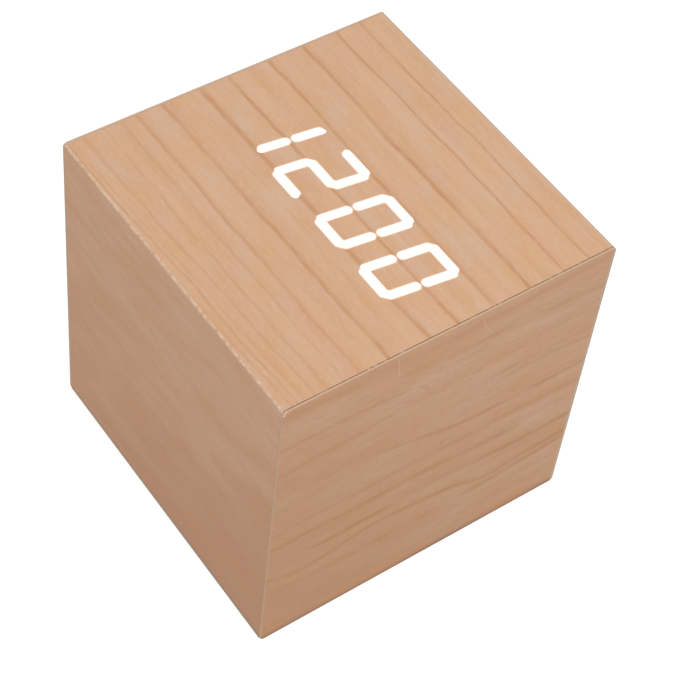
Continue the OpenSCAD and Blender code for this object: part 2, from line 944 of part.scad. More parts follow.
// A key cap with a bevelled edge outside and a flange inside the panel
module key_cap(i)
    color(dark_plastic)
        translate([key_x(i), strip_y, 0]) {
            translate([0, 0, key_z])
                cylinder(d1 = key_d - 2 * key_edge, d2 = key_d, h = key_edge);
            translate([0, 0, key_z + key_edge])
                cylinder(d = key_d, h = key_top - key_z - key_edge);
            translate([0, 0, key_flange_z])
                cylinder(r = key_flange_r, h = key_flange_t);
        }

module key_plunger(i)
    color(milky)
        translate([key_x(i), strip_y, key_top])
            cylinder(r = plunger_r, h = plunger_l + plunger_in);

module set_button() key_cap(0);
module up_button() key_cap(1);
module down_button() key_cap(2);
module set_plunger() key_plunger(0);
module up_plunger() key_plunger(1);
module down_plunger() key_plunger(2);

// Power

module power_socket()
    color(black_plastic)
        difference() {
            translate([power_x - socket_w / 2, strip_y - socket_w / 2, socket_z])
                cube([socket_w, socket_w, key_board_z - socket_z]);
            translate([power_x, strip_y, socket_z - past])
                cylinder(r = socket_bore_r, h = socket_bore_l + past);
        }

module power_pin()
    color(brass)
        translate([power_x, strip_y, socket_z + socket_pin_inset])
            cylinder(r = socket_pin_r, h = socket_bore_l - socket_pin_inset);

base_board();
right_board();
upper_board();
left_board();
front_board();
corner_posts();
veneer_wrap();
right_veneer();
left_veneer();
lit_segments();
diffuser_sheet();
segment_mask();
led_board();
segment_leds();
led_board_screws();
clock_chip();
driver_chip();
clock_crystal();
buzzer();
buffer_capacitor();
segment_resistors();
battery_socket();
ribbon_sockets();
key_ribbon();
back_panel();
back_panel_screws();
battery_door();
battery_cells();
battery_contacts();
battery_springs();
battery_lead_red();
battery_lead_black();
key_board();
key_board_screws();
key_switches();
set_button();
up_button();
down_button();
set_plunger();
up_plunger();
down_plunger();
power_socket();
power_pin();
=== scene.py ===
"""Dresses the frame of a wooden cube clock: veneer, lit digits, black back and battery bay.

The clock lies on its back. X runs along the digits, Y to their tops and Z out of the display.
"""

import math
from functools import reduce

import bmesh
import bpy
from mathutils import Color, Matrix, Vector


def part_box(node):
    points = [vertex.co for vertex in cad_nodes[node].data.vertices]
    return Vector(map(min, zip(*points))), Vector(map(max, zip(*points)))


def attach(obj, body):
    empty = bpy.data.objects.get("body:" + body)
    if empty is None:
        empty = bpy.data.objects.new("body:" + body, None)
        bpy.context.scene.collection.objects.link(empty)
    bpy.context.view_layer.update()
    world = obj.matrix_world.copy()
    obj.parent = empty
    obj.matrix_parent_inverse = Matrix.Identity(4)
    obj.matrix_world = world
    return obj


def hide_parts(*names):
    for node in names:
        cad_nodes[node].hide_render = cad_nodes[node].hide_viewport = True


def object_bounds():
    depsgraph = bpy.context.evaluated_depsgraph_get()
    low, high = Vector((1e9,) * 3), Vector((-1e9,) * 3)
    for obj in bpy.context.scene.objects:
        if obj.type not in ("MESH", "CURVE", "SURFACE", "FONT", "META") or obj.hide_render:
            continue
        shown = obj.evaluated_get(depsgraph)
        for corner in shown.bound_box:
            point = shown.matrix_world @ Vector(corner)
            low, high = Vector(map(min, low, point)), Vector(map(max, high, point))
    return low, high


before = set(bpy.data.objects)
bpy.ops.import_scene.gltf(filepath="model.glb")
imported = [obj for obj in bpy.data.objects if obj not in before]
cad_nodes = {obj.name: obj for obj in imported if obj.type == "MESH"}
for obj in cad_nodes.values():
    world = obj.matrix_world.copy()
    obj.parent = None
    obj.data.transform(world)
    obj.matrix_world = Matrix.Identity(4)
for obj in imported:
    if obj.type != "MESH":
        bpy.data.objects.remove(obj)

bl_info = {
    "name": "Wooden cube clock",
    "version": (1, 0, 0),
    "blender": (4, 5, 0),
    "location": "3D View > Sidebar > Cube clock",
    "description": "Dresses the frame of a wooden cube clock in veneer, light, plastic and steel",
    "category": "Object",
}

# Sizes taken from the frame, in millimetres where a name ends in _MM
MM = 0.001
cad_low, cad_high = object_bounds()
CUBE_MM = (cad_high.z - cad_low.z) / MM
HALF_MM = CUBE_MM / 2
WRAP_END_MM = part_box("veneer_wrap")[1].x / MM
END_VENEER_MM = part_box("right_veneer")[0].x / MM

WHITE = (1.0, 1.0, 1.0, 1.0)
BLACK = (0.0, 0.0, 0.0, 1.0)
ORIGIN = (0.0, 0.0, 0.0)

# Noises of the wood: how finely each runs along, across and into the grain, its detail and
# roughness, and the two levels between which it comes up
GRAIN_NOISES = {
    "Fibre": ((0.12, 2.6, 1.0), 5.0, 0.65, 0.3, 0.75),
    "Streak": ((0.04, 0.36, 0.4), 4.0, 0.6, 0.3, 0.7),
    "Pores": ((0.8, 4.2, 2.0), 2.0, 0.5, 0.55, 0.75),
    "Flecks": ((0.7, 2.8, 1.0), 2.0, 0.5, 0.5, 0.75),
    "Tan": ((0.13, 0.24, 0.2), 2.0, 0.5, 0.38, 0.66),
    "Patch": ((0.06, 0.15, 0.1), 3.0, 0.5, 0.35, 0.65),
}
# Noises that bend the growth lines: how finely each runs, and its reach in millimetres
WAVER_NOISES = (((0.045, 0.06, 0.1), 2.0), ((0.2, 0.09, 0.1), 0.25))
# Share of the waver that bends the lines of the display and the ends, and those of the other faces
FACE_WAVER = 0.7
SIDE_WAVER = 5.0
# Shares of the grain's marks in the colour of the wood, on the display and on the sides
MARK_SHARES = {
    "Tan": (0.9, 0.4), "Streak": (0.62, 0.62), "Fibre": (0.45, 0.6), "Flecks": (0.5, 0.12),
    "Pores": (0.12, 0.32),
}
BLUSH_SHARE = 0.8
BAND_SHARE = 0.8
# Share of the folds, and of the edges of the ends, that is worn
FOLD_COVER = 0.77
END_COVER = 0.5

# Growth lines of the folded sheet: distance below the fold at mid length, rise to the right, depth
# of colour, half width, and width of the warm band above the line, the lengths in millimetres
DISPLAY_LINES = (
    (1.7, 0.003, 0.2, 0.4, 1.0), (5.1, 0.003, 0.85, 0.4, 0.9), (10.0, 0.0, 0.85, 0.4, 0.7),
    (13.8, 0.004, 0.12, 0.6, 1.5), (16.9, 0.002, 1.1, 0.62, 2.6), (20.3, 0.004, 0.12, 0.5, 1.2),
    (23.7, 0.002, 0.9, 0.62, 2.0), (27.4, 0.008, 0.12, 0.5, 1.0), (31.0, 0.017, 1.0, 0.46, 1.0),
    (36.4, 0.009, 0.9, 0.75, 1.4), (39.8, 0.01, 0.1, 0.5, 1.2), (43.6, 0.01, 0.9, 0.6, 3.0),
    (48.7, 0.006, 0.65, 0.5, 1.4), (51.5, 0.006, 0.35, 0.4, 0.8), (54.5, 0.013, 0.35, 0.35, 0.8),
    (57.4, 0.045, 0.4, 0.35, 0.7), (59.4, 0.05, 0.3, 0.3, 0.5), (60.4, 0.043, 0.5, 0.35, 0.6),
    (62.0, 0.06, 0.45, 0.35, 0.6),
)
SIDE_LINES = (
    (10.2, -0.02, 0.35, 0.8, 1.5), (19.0, 0.03, 0.25, 1.2, 2.0), (31.0, 0.05, 0.3, 1.0, 2.0),
    (41.0, 0.05, 0.3, 1.0, 2.0), (53.5, 0.0, 0.4, 1.4, 2.5),
)
# Dark streaks of an end veneer: the points that they pass, as distance from the middle and depth
# below the display, then depth of colour and half width
END_STREAKS = (
    (((-31.0, 1.6), (-6.0, 2.4), (31.0, 1.4)), 0.3, 1.4),
    (((-12.0, 5.6), (0.0, 6.5), (31.0, 8.4)), 0.35, 1.0),
    (((-31.0, 9.3), (-17.2, 9.4), (-5.0, 10.7)), 0.55, 0.9),
    (((-31.0, 15.7), (-10.0, 15.4)), 0.4, 1.1),
    (((8.0, 18.2), (31.0, 18.6)), 0.35, 0.8),
    (((9.0, 20.1), (31.0, 20.6)), 0.4, 0.8),
    (((-15.0, 23.1), (-3.4, 25.1), (1.4, 26.5), (7.6, 27.3), (17.2, 27.5), (31.0, 27.4)), 0.6, 0.8),
    (((-31.0, 32.0), (-10.3, 31.5), (10.3, 32.0), (31.0, 32.7)), 0.5, 1.1),
    (((-31.0, 35.8), (-10.3, 36.0), (0.0, 36.2), (10.3, 36.9), (21.0, 37.3)), 0.85, 1.1),
    (((-25.0, 41.2), (-4.5, 41.0)), 1.3, 1.1),
    (((-11.0, 40.8), (11.0, 40.4)), 0.4, 1.2),
    (((8.0, 41.2), (17.2, 41.8), (31.0, 42.0)), 0.9, 1.0),
    (((-31.0, 44.1), (-24.1, 45.8), (-17.2, 45.1), (-11.0, 44.1), (-2.0, 44.4), (5.5, 45.3),
      (10.3, 46.8), (13.1, 47.5), (20.7, 47.3), (31.0, 46.8)), 0.85, 1.0),
    (((-31.0, 48.6), (-17.2, 49.6), (6.0, 49.9)), 0.6, 1.4),
    (((6.0, 50.0), (20.0, 49.3), (31.0, 48.4)), 0.8, 1.0),
    (((-22.0, 53.7), (-6.0, 53.9)), 0.4, 1.3),
)
# Length over which a streak fades where it ends inside its face
STREAK_FADE = 6.0
# Reach of the warm band over a streak and under it, in half widths of the streak
BAND_OVER = 4.0
BAND_UNDER = 1.5
# Pale scratches and a small knot on the right end: points as on the streaks
SCRATCHES = (
    ((-10.5, 0.7), (-10.0, 5.2)),
    ((5.3, 1.6), (6.1, 3.8), (7.7, 6.2)),
)
SCRATCH_SHARE = 0.6
KNOT = ((-5.1, 11.0), (-4.3, 11.5), (-3.6, 12.4))
KNOT_WIDTH = 0.6
KNOT_SHARE = 0.45
# Corner of the right end, the display and the base, where the veneer is chipped
CHIPPED_CORNER = (HALF_MM, -HALF_MM, CUBE_MM)
CHIP_BLUR = 0.4

# Strokes of a figure, by the corners that they join: left or right, and top, middle or bottom
STROKES = {
    "a": ((-1, 1), (1, 1)), "b": ((1, 1), (1, 0)), "c": ((1, 0), (1, -1)),
    "d": ((-1, -1), (1, -1)), "e": ((-1, 0), (-1, -1)), "f": ((-1, 1), (-1, 0)),
    "g": ((-1, 0), (1, 0)),
}
BARS = "adg"
SHOWN_STROKES = ("bc", "abged", "abcdef", "abcdef")
# How far the light round a stroke stays from its corners, in stroke widths: where two strokes turn
# a corner, and elsewhere
TURN_TRIM = 0.42
END_TRIM = 0.58

# Modifiers that round the edges of a CAD node: the gap that is welded, and the angles in radians
# below which faces are flat and above which edges are sharp
WELD_GAP = 0.001 * MM
FLAT_ANGLE = math.radians(1)
SHARP_ANGLE = math.radians(40)
# Angles in degrees below which turned pieces and tubes are shaded smooth
TURNED_SMOOTH = 40
TUBE_SMOOTH = 60

X_WAY = Vector((1.0, 0.0, 0.0))
Y_WAY = Vector((0.0, 1.0, 0.0))


def srgb(red, green, blue):
    """Scene colour, with alpha, of a colour given in steps from 0 to 255."""
    shade = Color((red / 255, green / 255, blue / 255)).from_srgb_to_scene_linear()
    return (*shade, 1.0)


def colour(name, description, *steps):
    """A colour property."""
    return bpy.props.FloatVectorProperty(
        name=name, description=description, subtype="COLOR", size=4, min=0.0, max=1.0,
        default=srgb(*steps),
    )


def length(name, description, millimetres):
    """A length property."""
    return bpy.props.FloatProperty(
        name=name, description=description, subtype="DISTANCE", unit="LENGTH", min=0.0,
        default=millimetres * MM,
    )


def level(name, description, value):
    """A plain number property."""
    return bpy.props.FloatProperty(name=name, description=description, min=0.0, default=value)


def place(name, description, metres):
    """A place property."""
    return bpy.props.FloatVectorProperty(
        name=name, description=description, subtype="TRANSLATION", unit="LENGTH", default=metres,
    )


class VeneerLooks(bpy.types.PropertyGroup):
    """Colours and sizes of the wood veneer"""

    wood: colour("Wood", "Main colour of the veneer", 212, 178, 152)
    line: colour("Growth line", "Dark edge of a growth ring", 199, 149, 111)
    band: colour("Late wood", "Warm band that leads up to a growth line", 209, 163, 126)
    pale: colour("Pale streak", "Pale wood between the growth lines", 222, 185, 155)
    blush: colour("Blush", "Pinkish patches of the wood", 216, 166, 135)
    tan: colour("Tan", "Warm clouds of the wood", 215, 168, 125)
    # Deep wood and painted shade: warmer wood, and painted shade that darkens the sides towards the
    # bottom and the display towards the base
    deep_and_shade: colour("Deep wood", "Warm, darker wood low on the sides", 194, 145, 113)
    amber: colour("Amber", "Warm wood just over the lower edges of the ends", 210, 154, 113)
    # Foot: painted contact shade, with some dirt, along the lower edges of the ends
    foot: colour("Foot", "Rubbed and dirty wood along the lower edges of the ends", 166, 132, 109)
    # Grey foot: painted contact shade, with some dirt, along the lower edges of the fold
    grey_foot_shade: colour("Grey foot", "Dirty wood along the lower edges of the fold", 171, 146, 128)
    pore: colour("Pore", "Short dark pores along the grain", 176, 128, 94)
    worn: colour("Worn edge", "Wood rubbed pale at the folds", 227, 202, 178)
    chip: colour("Chip", "Bare core at the chipped corner", 252, 234, 220)
    cut: colour("Cut edge", "Cut edges of the right end veneer", 209, 175, 146)
    # Grey edge: painted shade on the cut edges of the left end and on the edges that turn to the upper
    # face, away from the light
    grey_edge_shade: colour("Grey edge", "Edges of the left end veneer and of the upper face", 206, 181, 160)
    # Seam dust: dirt, and painted shade of the groove, in the seams of the display face
    seam: colour("Seam dust", "Dirt in the seams of the display face", 142, 114, 94)
    filler: colour("Seam filler", "Glue in the seams of the other faces", 207, 173, 144)
    bleed: colour("Light bleed", "Light that spreads in the veneer round the strokes", 255, 246, 242)
    bleed_strength: level("Bleed strength", "Brightness of the light in the veneer", 0.85)
    bleed_width: length("Bleed width", "How far light spreads in the veneer round a stroke", 0.35)
    worn_width: length("Worn width", "Width of the wear beside a fold", 0.6)
    # Height of the painted contact shade along the lower edges
    foot_shade_width: length("Foot width", "Height of the dirty lower edges", 1.7)
    chip_width: length("Chip width", "Reach of the wear round the chipped corner", 0.95)
    scratch_width: length("Scratch width", "Half width of a scratch", 0.11)


class DisplayLooks(bpy.types.PropertyGroup):
    """Colours of the display and of the electronics behind it"""

    glow: colour("Glow", "Light of the lit strokes", 255, 255, 252)
    rim: colour("Glow rim", "Warmer light in parts of a stroke", 255, 252, 246)
    unlit: colour("Unlit stroke", "Stroke without its light", 58, 54, 50)
    digit_pitch: length("Digit pitch", "Distance from one digit to the next", 11.7)
    digit_width: length("Digit width", "Width of a digit between its upright strokes", 6.3)
    half_height: length("Half height", "Height of half a digit between its bars", 5.95)
    stroke_width: length("Stroke width", "Width of a lit stroke", 1.65)
    digits_right: length("Digits right", "Offset of the digits along their row", 0.8)
    digits_up: length("Digits up", "Offset of the digits upwards", 0.35)
    lean: bpy.props.FloatProperty(
        name="Lean", description="Lean of the digits", subtype="ANGLE", unit="ROTATION",
        default=math.radians(7.5),
    )
    glow_strength: level("Glow strength", "Brightness of the lit strokes", 1.0)
    milky: colour("Diffuser", "Milky plastic of the diffuser and the lights", 236, 236, 230)
    mask: colour("Mask", "Dark plastic of the segment mask", 38, 38, 40)
    board: colour("Circuit board", "Lacquer of the circuit boards", 26, 92, 56)
    track: colour("Track", "Copper tracks under the lacquer", 48, 126, 78)
    resin: colour("Chip resin", "Black resin of the chips", 34, 34, 36)
    sleeve: colour("Capacitor sleeve", "Sleeve of the capacitor", 44, 50, 66)
    ribbon: colour("Ribbon", "Grey ribbon cable", 150, 152, 156)


class BackLooks(bpy.types.PropertyGroup):
    """Colours of the boards, the back panel and the keys"""

    fibreboard: colour("Fibreboard", "Raw fibreboard of the box", 164, 128, 94)
    fibre: colour("Fibre", "Dark fibres in the fibreboard", 132, 98, 68)
    plastic: colour("Back plastic", "Black plastic of the panel and the door", 33, 33, 35)
    key: colour("Key plastic", "Plastic of the keys", 52, 52, 55)
    mark: colour("Key mark", "Paint of the marks on the keys", 214, 214, 210)
    dust: colour("Dust", "Dust on the plastic", 128, 122, 114)
    steel: colour("Steel", "Plated steel of screws and contacts", 196, 197, 200)
    tarnish: colour("Tarnish", "Dull patches of the steel", 150, 149, 148)
    brass: colour("Brass", "Pin of the power socket", 206, 172, 96)
    red_wire: colour("Red wire", "Red battery lead", 176, 30, 26)
    black_wire: colour("Black wire", "Black battery lead", 30, 30, 32)
    soft_edge: length("Soft edge", "Rounding of the moulded edges", 0.12)


class BatteryLooks(bpy.types.PropertyGroup):
    """Colours and sizes of the battery cells and their springs"""

    jacket: colour("Jacket", "Printed film of a cell", 58, 84, 112)
    collar: colour("Collar", "Pale band of the film near the nub", 206, 208, 206)
    washer: colour("Washer", "Insulating ring under the nub", 232, 228, 216)
    spring_length: length("Spring length", "Pressed length of a contact spring", 3.2)
    spring_radius: length("Spring radius", "Mean radius of a contact spring", 2.6)
    spring_wire: length("Spring wire", "Wire diameter of a contact spring", 0.5)
    spring_turns: level("Spring turns", "Turns of a contact spring", 2.5)
    nub_length: length("Nub length", "Length of a cell's nub", 0.8)
    nub_radius: length("Nub radius", "Radius of a cell's nub", 1.9)
    lead_radius: length("Lead radius", "Radius of a battery lead", 0.6)
    lead_pull: length("Lead pull", "How far a lead runs straight out of its ends", 16.0)


class StageLooks(bpy.types.PropertyGroup):
    """Floor, light and camera"""

    floor: colour("Floor", "Pale floor", 178, 178, 178)
    floor_glow: level("Floor whiteness", "White added to the floor as the camera sees it", 0.74)
    fill: level("Fill", "Soft light from all around", 0.67)
    key_power: level("Key power", "Power of the soft lamp over the clock in watts", 1.9)
    key_size: length("Key size", "Width of the soft lamp", 600)
    key_place: place("Key place", "Place of the soft lamp", (0.21, -0.05, 0.7))
    camera_place: place("Camera place", "Place of the camera", (0.16839, -0.14042, 0.29368))
    camera_turn: bpy.props.FloatVectorProperty(
        name="Camera turn", description="Turn of the camera", subtype="EULER",
        unit="ROTATION",
        default=(math.radians(39.17), math.radians(-4.743), math.radians(55.123)),
    )
    lens: bpy.props.FloatProperty(
        name="Lens", description="Focal length in millimetres on a 36 mm sensor", min=1.0,
        default=108.533,
    )


class Graph:
    """Adds linked nodes to a tree. Any input takes a socket or a plain value."""

    column_step = 190
    row_step = -170
    rows = 6

    def __init__(self, tree):
        self.tree = tree

    def fill(self, socket, value):
        """Links a socket to an input, or sets the input's own value."""
        if isinstance(value, bpy.types.NodeSocket):
            self.tree.links.new(value, socket)
        else:
            socket.default_value = value

    def node(self, kind, inputs=None, **settings):
        """Adds a node, with its settings and its inputs by name or number."""
        made = self.tree.nodes.new(kind)
        count = len(self.tree.nodes)
        made.location = (count // self.rows * self.column_step, count % self.rows * self.row_step)
        for name, value in settings.items():
            setattr(made, name, value)
        for name, value in (inputs or {}).items():
            self.fill(made.inputs[name], value)
        return made

    def math(self, operation, *values):
        """A number worked out from others."""
        return self.node("ShaderNodeMath", dict(enumerate(values)), operation=operation).outputs[0]

    def times(self, *values):
        """The product of some numbers."""
        return reduce(lambda first, second: self.math("MULTIPLY", first, second), values)

    def plus(self, *values):
        """The sum of some numbers."""
        return reduce(lambda first, second: self.math("ADD", first, second), values)

    def minus(self, first, second):
        """The first number less the second."""
        return self.math("SUBTRACT", first, second)

    def most(self, first, second):
        """The larger of two numbers."""
        return self.math("MAXIMUM", first, second)

    def size(self, value):
        """A number without its sign."""
        return self.math("ABSOLUTE", value)

    def between(self, mask, low, high):
        """A number that goes from low to high with a mask."""
        return self.math("MULTIPLY_ADD", mask, high - low, low)

    def sway(self, noise, reach):
        """A number about zero from a noise about one half."""
        return self.times(self.minus(noise, 0.5), reach)

    def ease(self, value, low, high):
        """A smooth step from 0 at low to 1 at high."""
        inputs = {"Value": value, "From Min": low, "From Max": high}
        made = self.node("ShaderNodeMapRange", inputs, interpolation_type="SMOOTHSTEP")
        return made.outputs["Result"]

    def vectors(self, operation, first, second, result="Vector"):
        """A vector worked out from two others, or a number where result is Value."""
        inputs = {0: first, 1: second}
        return self.node("ShaderNodeVectorMath", inputs, operation=operation).outputs[result]

    def stretch(self, spot, factors):
        """A place with each of its numbers multiplied."""
        return self.vectors("MULTIPLY", spot, factors)

    def split(self, spot):
        """The three numbers of a place."""
        return self.node("ShaderNodeSeparateXYZ", {"Vector": spot}).outputs

    def join(self, x, y, z=0.0):
        """A place from three numbers."""
        return self.node("ShaderNodeCombineXYZ", {"X": x, "Y": y, "Z": z}).outputs["Vector"]

    def noise(self, spot, scale=1.0, detail=2.0, roughness=0.5):
        """Soft noise about one half."""
        inputs = {"Vector": spot, "Scale": scale, "Detail": detail, "Roughness": roughness}
        return self.node("ShaderNodeTexNoise", inputs).outputs["Fac"]

    def blend(self, mask, shade, tone):
        """A colour moved towards a tone by a mask."""
        made = self.node("ShaderNodeMix", data_type="RGBA")
        factor, first_colour, second_colour = made.inputs[0], made.inputs[6], made.inputs[7]
        self.fill(factor, mask)
        self.fill(first_colour, shade)
        self.fill(second_colour, tone)
        return made.outputs[2]

    def tint(self, mask, share, shade, tone):
        """A colour moved towards a tone by a share of a mask."""
        return self.blend(self.times(mask, share), shade, tone)

    def group(self, tree, inputs):
        """Places a shared node group and returns its outputs."""
        return self.node("ShaderNodeGroup", inputs, node_tree=tree).outputs

    def place_mm(self):
        """Place on the piece, in millimetres of the frame."""
        spot = self.node("ShaderNodeTexCoord").outputs["Object"]
        return self.stretch(spot, (1 / MM, 1 / MM, 1 / MM))

    def bump(self, height, strength, distance_mm):
        """A normal bent by a height."""
        inputs = {"Height": height, "Strength": strength, "Distance": distance_mm * MM}
        return self.node("ShaderNodeBump", inputs).outputs["Normal"]


class Finish(Graph):
    """The graph of a new material with a Principled shader."""

    def __init__(self, name):
        self.material = bpy.data.materials.new(name)
        self.material.use_nodes = True
        super().__init__(self.material.node_tree)
        self.tree.nodes.clear()
        self.shader = self.node("ShaderNodeBsdfPrincipled")
        self.node("ShaderNodeOutputMaterial", {"Surface": self.shader.outputs["BSDF"]})

    def surface(self, inputs):
        """Fills the shader's inputs and returns the material."""
        for name, value in inputs.items():
            self.fill(self.shader.inputs[name], value)
        return self.material


def shared_group(name, inputs, outputs, fill):
    """Makes a node group once, from its inputs with their defaults and the names of its outputs."""
    known = bpy.data.node_groups.get(name)
    if known:
        return known
    tree = bpy.data.node_groups.new(name, "ShaderNodeTree")
    for label, default in inputs.items():
        kind = "NodeSocketVector" if isinstance(default, tuple) else "NodeSocketFloat"
        socket = tree.interface.new_socket(label, in_out="INPUT", socket_type=kind)
        socket.default_value = default
    for label in outputs:
        tree.interface.new_socket(label, in_out="OUTPUT", socket_type="NodeSocketFloat")
    graph = Graph(tree)
    given = graph.node("NodeGroupInput").outputs
    results = fill(graph, given)
    graph.node("NodeGroupOutput", results)
    return tree


def wood_grain():
    """Fibres, pores, patches and waver of wood. Its place runs along, across and into the grain."""

    def fill(graph, given):
        results = {}
        for name, (fineness, detail, roughness, low, high) in GRAIN_NOISES.items():
            spot = graph.stretch(given["Place"], fineness)
            noise = graph.noise(spot, detail=detail, roughness=roughness)
            results[name] = graph.ease(noise, low, high)
        bends = []
        for fineness, reach in WAVER_NOISES:
            noise = graph.noise(graph.stretch(given["Place"], fineness), detail=1.0)
            bends.append(graph.sway(noise, reach))
        results["Waver"] = graph.plus(*bends)
        return results

    return shared_group("Wood grain", {"Place": ORIGIN}, (*GRAIN_NOISES, "Waver"), fill)


def growth_line():
    """One growth line: a thin dark line with a warm band on the side that it grew from."""
    row_step = 17.0
    tremble_reach = 0.45
    strand_along = 0.35
    strand_across = 2.2

    def fill(graph, given):
        along = given["Along"]
        across = given["Across"]
        row = graph.times(given["Line place"], row_step)
        spot = graph.join(along, row)
        tremble = graph.sway(graph.noise(spot, scale=0.2), tremble_reach)
        climb = graph.times(along, given["Rise"])
        offset = graph.plus(graph.minus(graph.plus(across, climb), given["Line place"]), tremble)
        line = graph.ease(graph.size(offset), given["Line width"], 0.0)
        rise = graph.ease(offset, graph.times(given["Band width"], -1.0), 0.0)
        fall = graph.ease(offset, given["Line width"], 0.0)
        fading = graph.ease(graph.noise(spot, scale=0.06), 0.3, 0.6)
        strands = graph.join(graph.times(along, strand_along), graph.times(across, strand_across), row)
        broken = graph.ease(graph.noise(strands, detail=3.0, roughness=0.6), 0.3, 0.6)
        lasting = graph.between(fading, 0.55, 1.05)
        whole = graph.between(broken, 0.45, 1.05)
        shown = graph.times(given["Depth"], lasting, whole)
        return {"Line": graph.times(line, shown), "Band": graph.times(rise, fall, shown)}

    inputs = {
        "Along": 0.0, "Across": 0.0, "Line place": 0.0, "Rise": 0.0, "Depth": 1.0,
        "Line width": 0.4, "Band width": 1.0,
    }
    return shared_group("Growth line", inputs, ("Line", "Band"), fill)


def edge_wear():
    """Patchy wear along an edge, from the distance to that edge in millimetres."""
    speck_share = 1.1
    patch_share = 0.2
    bare_level = 1.22
    worn_level = 1.6

    def fill(graph, given):
        near = graph.ease(given["Distance"], given["Width"], 0.0)
        specks = graph.times(graph.noise(given["Place"], scale=1.7), speck_share)
        patches = graph.times(graph.noise(given["Place"], scale=0.12), patch_share)
        bare = graph.minus(bare_level, given["Cover"])
        worn = graph.minus(worn_level, given["Cover"])
        shown = graph.ease(graph.plus(patches, specks), bare, worn)
        return {"Wear": graph.times(near, shown)}

    inputs = {"Place": ORIGIN, "Distance": 1.0, "Width": 0.3, "Cover": 0.5}
    return shared_group("Edge wear", inputs, ("Wear",), fill)


def stroke_mark():
    """A soft stroke between two points."""

    def fill(graph, given):
        along = graph.vectors("SUBTRACT", given["End"], given["Start"])
        offset = graph.vectors("SUBTRACT", given["Place"], given["Start"])
        reach = graph.vectors("DOT_PRODUCT", offset, along, "Value")
        whole = graph.vectors("DOT_PRODUCT", along, along, "Value")
        share = graph.math("DIVIDE", reach, whole)
        held = graph.math("MINIMUM", graph.most(share, 0.0), 1.0)
        inputs = {0: along, "Scale": held}
        foot = graph.node("ShaderNodeVectorMath", inputs, operation="SCALE").outputs["Vector"]
        distance = graph.vectors("DISTANCE", offset, foot, "Value")
        return {"Mark": graph.ease(distance, given["Width"], 0.0)}

    inputs = {"Place": ORIGIN, "Start": ORIGIN, "End": (1.0, 0.0, 0.0), "Width": 0.1}
    return shared_group("Stroke mark", inputs, ("Mark",), fill)


def moulded_grain():
    """Fine grain of moulded plastic, with slow changes of gloss and a little dust."""
    pebble_share = 0.2

    def fill(graph, given):
        spot = given["Place"]
        inputs = {"Vector": spot, "Scale": given["Grain"]}
        pebbles = graph.node("ShaderNodeTexVoronoi", inputs).outputs["Distance"]
        slow = graph.noise(spot, scale=0.15, detail=3.0)
        specks = graph.noise(spot, scale=1.7, detail=4.0, roughness=0.65)
        return {
            "Height": pebbles,
            "Gloss": graph.plus(graph.times(pebbles, pebble_share), slow),
            "Dust": graph.times(graph.ease(specks, 0.6, 0.8), slow),
        }

    inputs = {"Place": ORIGIN, "Grain": 5.0}
    return shared_group("Moulded grain", inputs, ("Height", "Gloss", "Dust"), fill)


def metal_finish():
    """Drawn lines and dull patches of plated metal."""
    drawn_fineness = (1.0, 14.0, 14.0)

    def fill(graph, given):
        drawn_spot = graph.stretch(given["Place"], drawn_fineness)
        drawn = graph.noise(drawn_spot, detail=3.0, roughness=0.6)
        dull = graph.noise(given["Place"], scale=0.6, detail=4.0, roughness=0.6)
        return {"Drawn": drawn, "Dull": graph.ease(dull, 0.45, 0.7)}

    return shared_group("Metal finish", {"Place": ORIGIN}, ("Drawn", "Dull"), fill)


def dress(material, *names):
    """Gives CAD nodes a material in place of their plain one."""
    for name in names:
        for slot in cad_nodes[name].material_slots:
            slot.material = material


def soften(width, *names):
    """Rounds the sharp edges of CAD nodes a little, with modifiers alone."""
    steps = (
        ("Weld", "WELD", {"merge_threshold": WELD_GAP}),
        ("Flat faces", "DECIMATE", {"decimate_type": "DISSOLVE", "angle_limit": FLAT_ANGLE}),
        ("Soft edge", "BEVEL", {
            "width": width, "segments": 2, "limit_method": "ANGLE", "angle_limit": SHARP_ANGLE,
            "harden_normals": True,
        }),
    )
    for name in names:
        for label, kind, settings in steps:
            modifier = cad_nodes[name].modifiers.new(label, kind)
            for setting, value in settings.items():
                setattr(modifier, setting, value)


def sheet_masks(graph, along, across, lines):
    """Strongest line and band, at each place, of a row of growth lines."""
    line = 0.0
    band = 0.0
    for line_place, rise, depth, half_width, band_width in lines:
        made = graph.group(growth_line(), {
            "Along": along, "Across": across, "Line place": line_place, "Rise": rise,
            "Depth": depth, "Line width": half_width, "Band width": band_width,
        })
        line = graph.most(made["Line"], line)
        band = graph.most(made["Band"], band)
    return line, band


def chain_mask(graph, spot, points, half_width):
    """A chain of thin strokes."""
    chain = 0.0
    for start, end in zip(points, points[1:]):
        made = graph.group(stroke_mark(), {
            "Place": spot, "Start": (*start, 0.0), "End": (*end, 0.0), "Width": half_width,
        })
        chain = graph.most(made["Mark"], chain)
    return chain


def bent_line(graph, along, points):
    """Depth of a smooth line through a few points, at each place along it."""
    share = graph.math("DIVIDE", graph.plus(along, HALF_MM), CUBE_MM)
    bend = graph.node("ShaderNodeFloatCurve", {"Value": share})
    spots = [((x + HALF_MM) / CUBE_MM, depth / CUBE_MM) for x, depth in points]
    curve = bend.mapping.curves[0]
    curve.points[0].location = spots[0]
    curve.points[1].location = spots[-1]
    for spot in spots[1:-1]:
        curve.points.new(*spot)
    bend.mapping.update()
    return graph.times(bend.outputs["Value"], CUBE_MM)


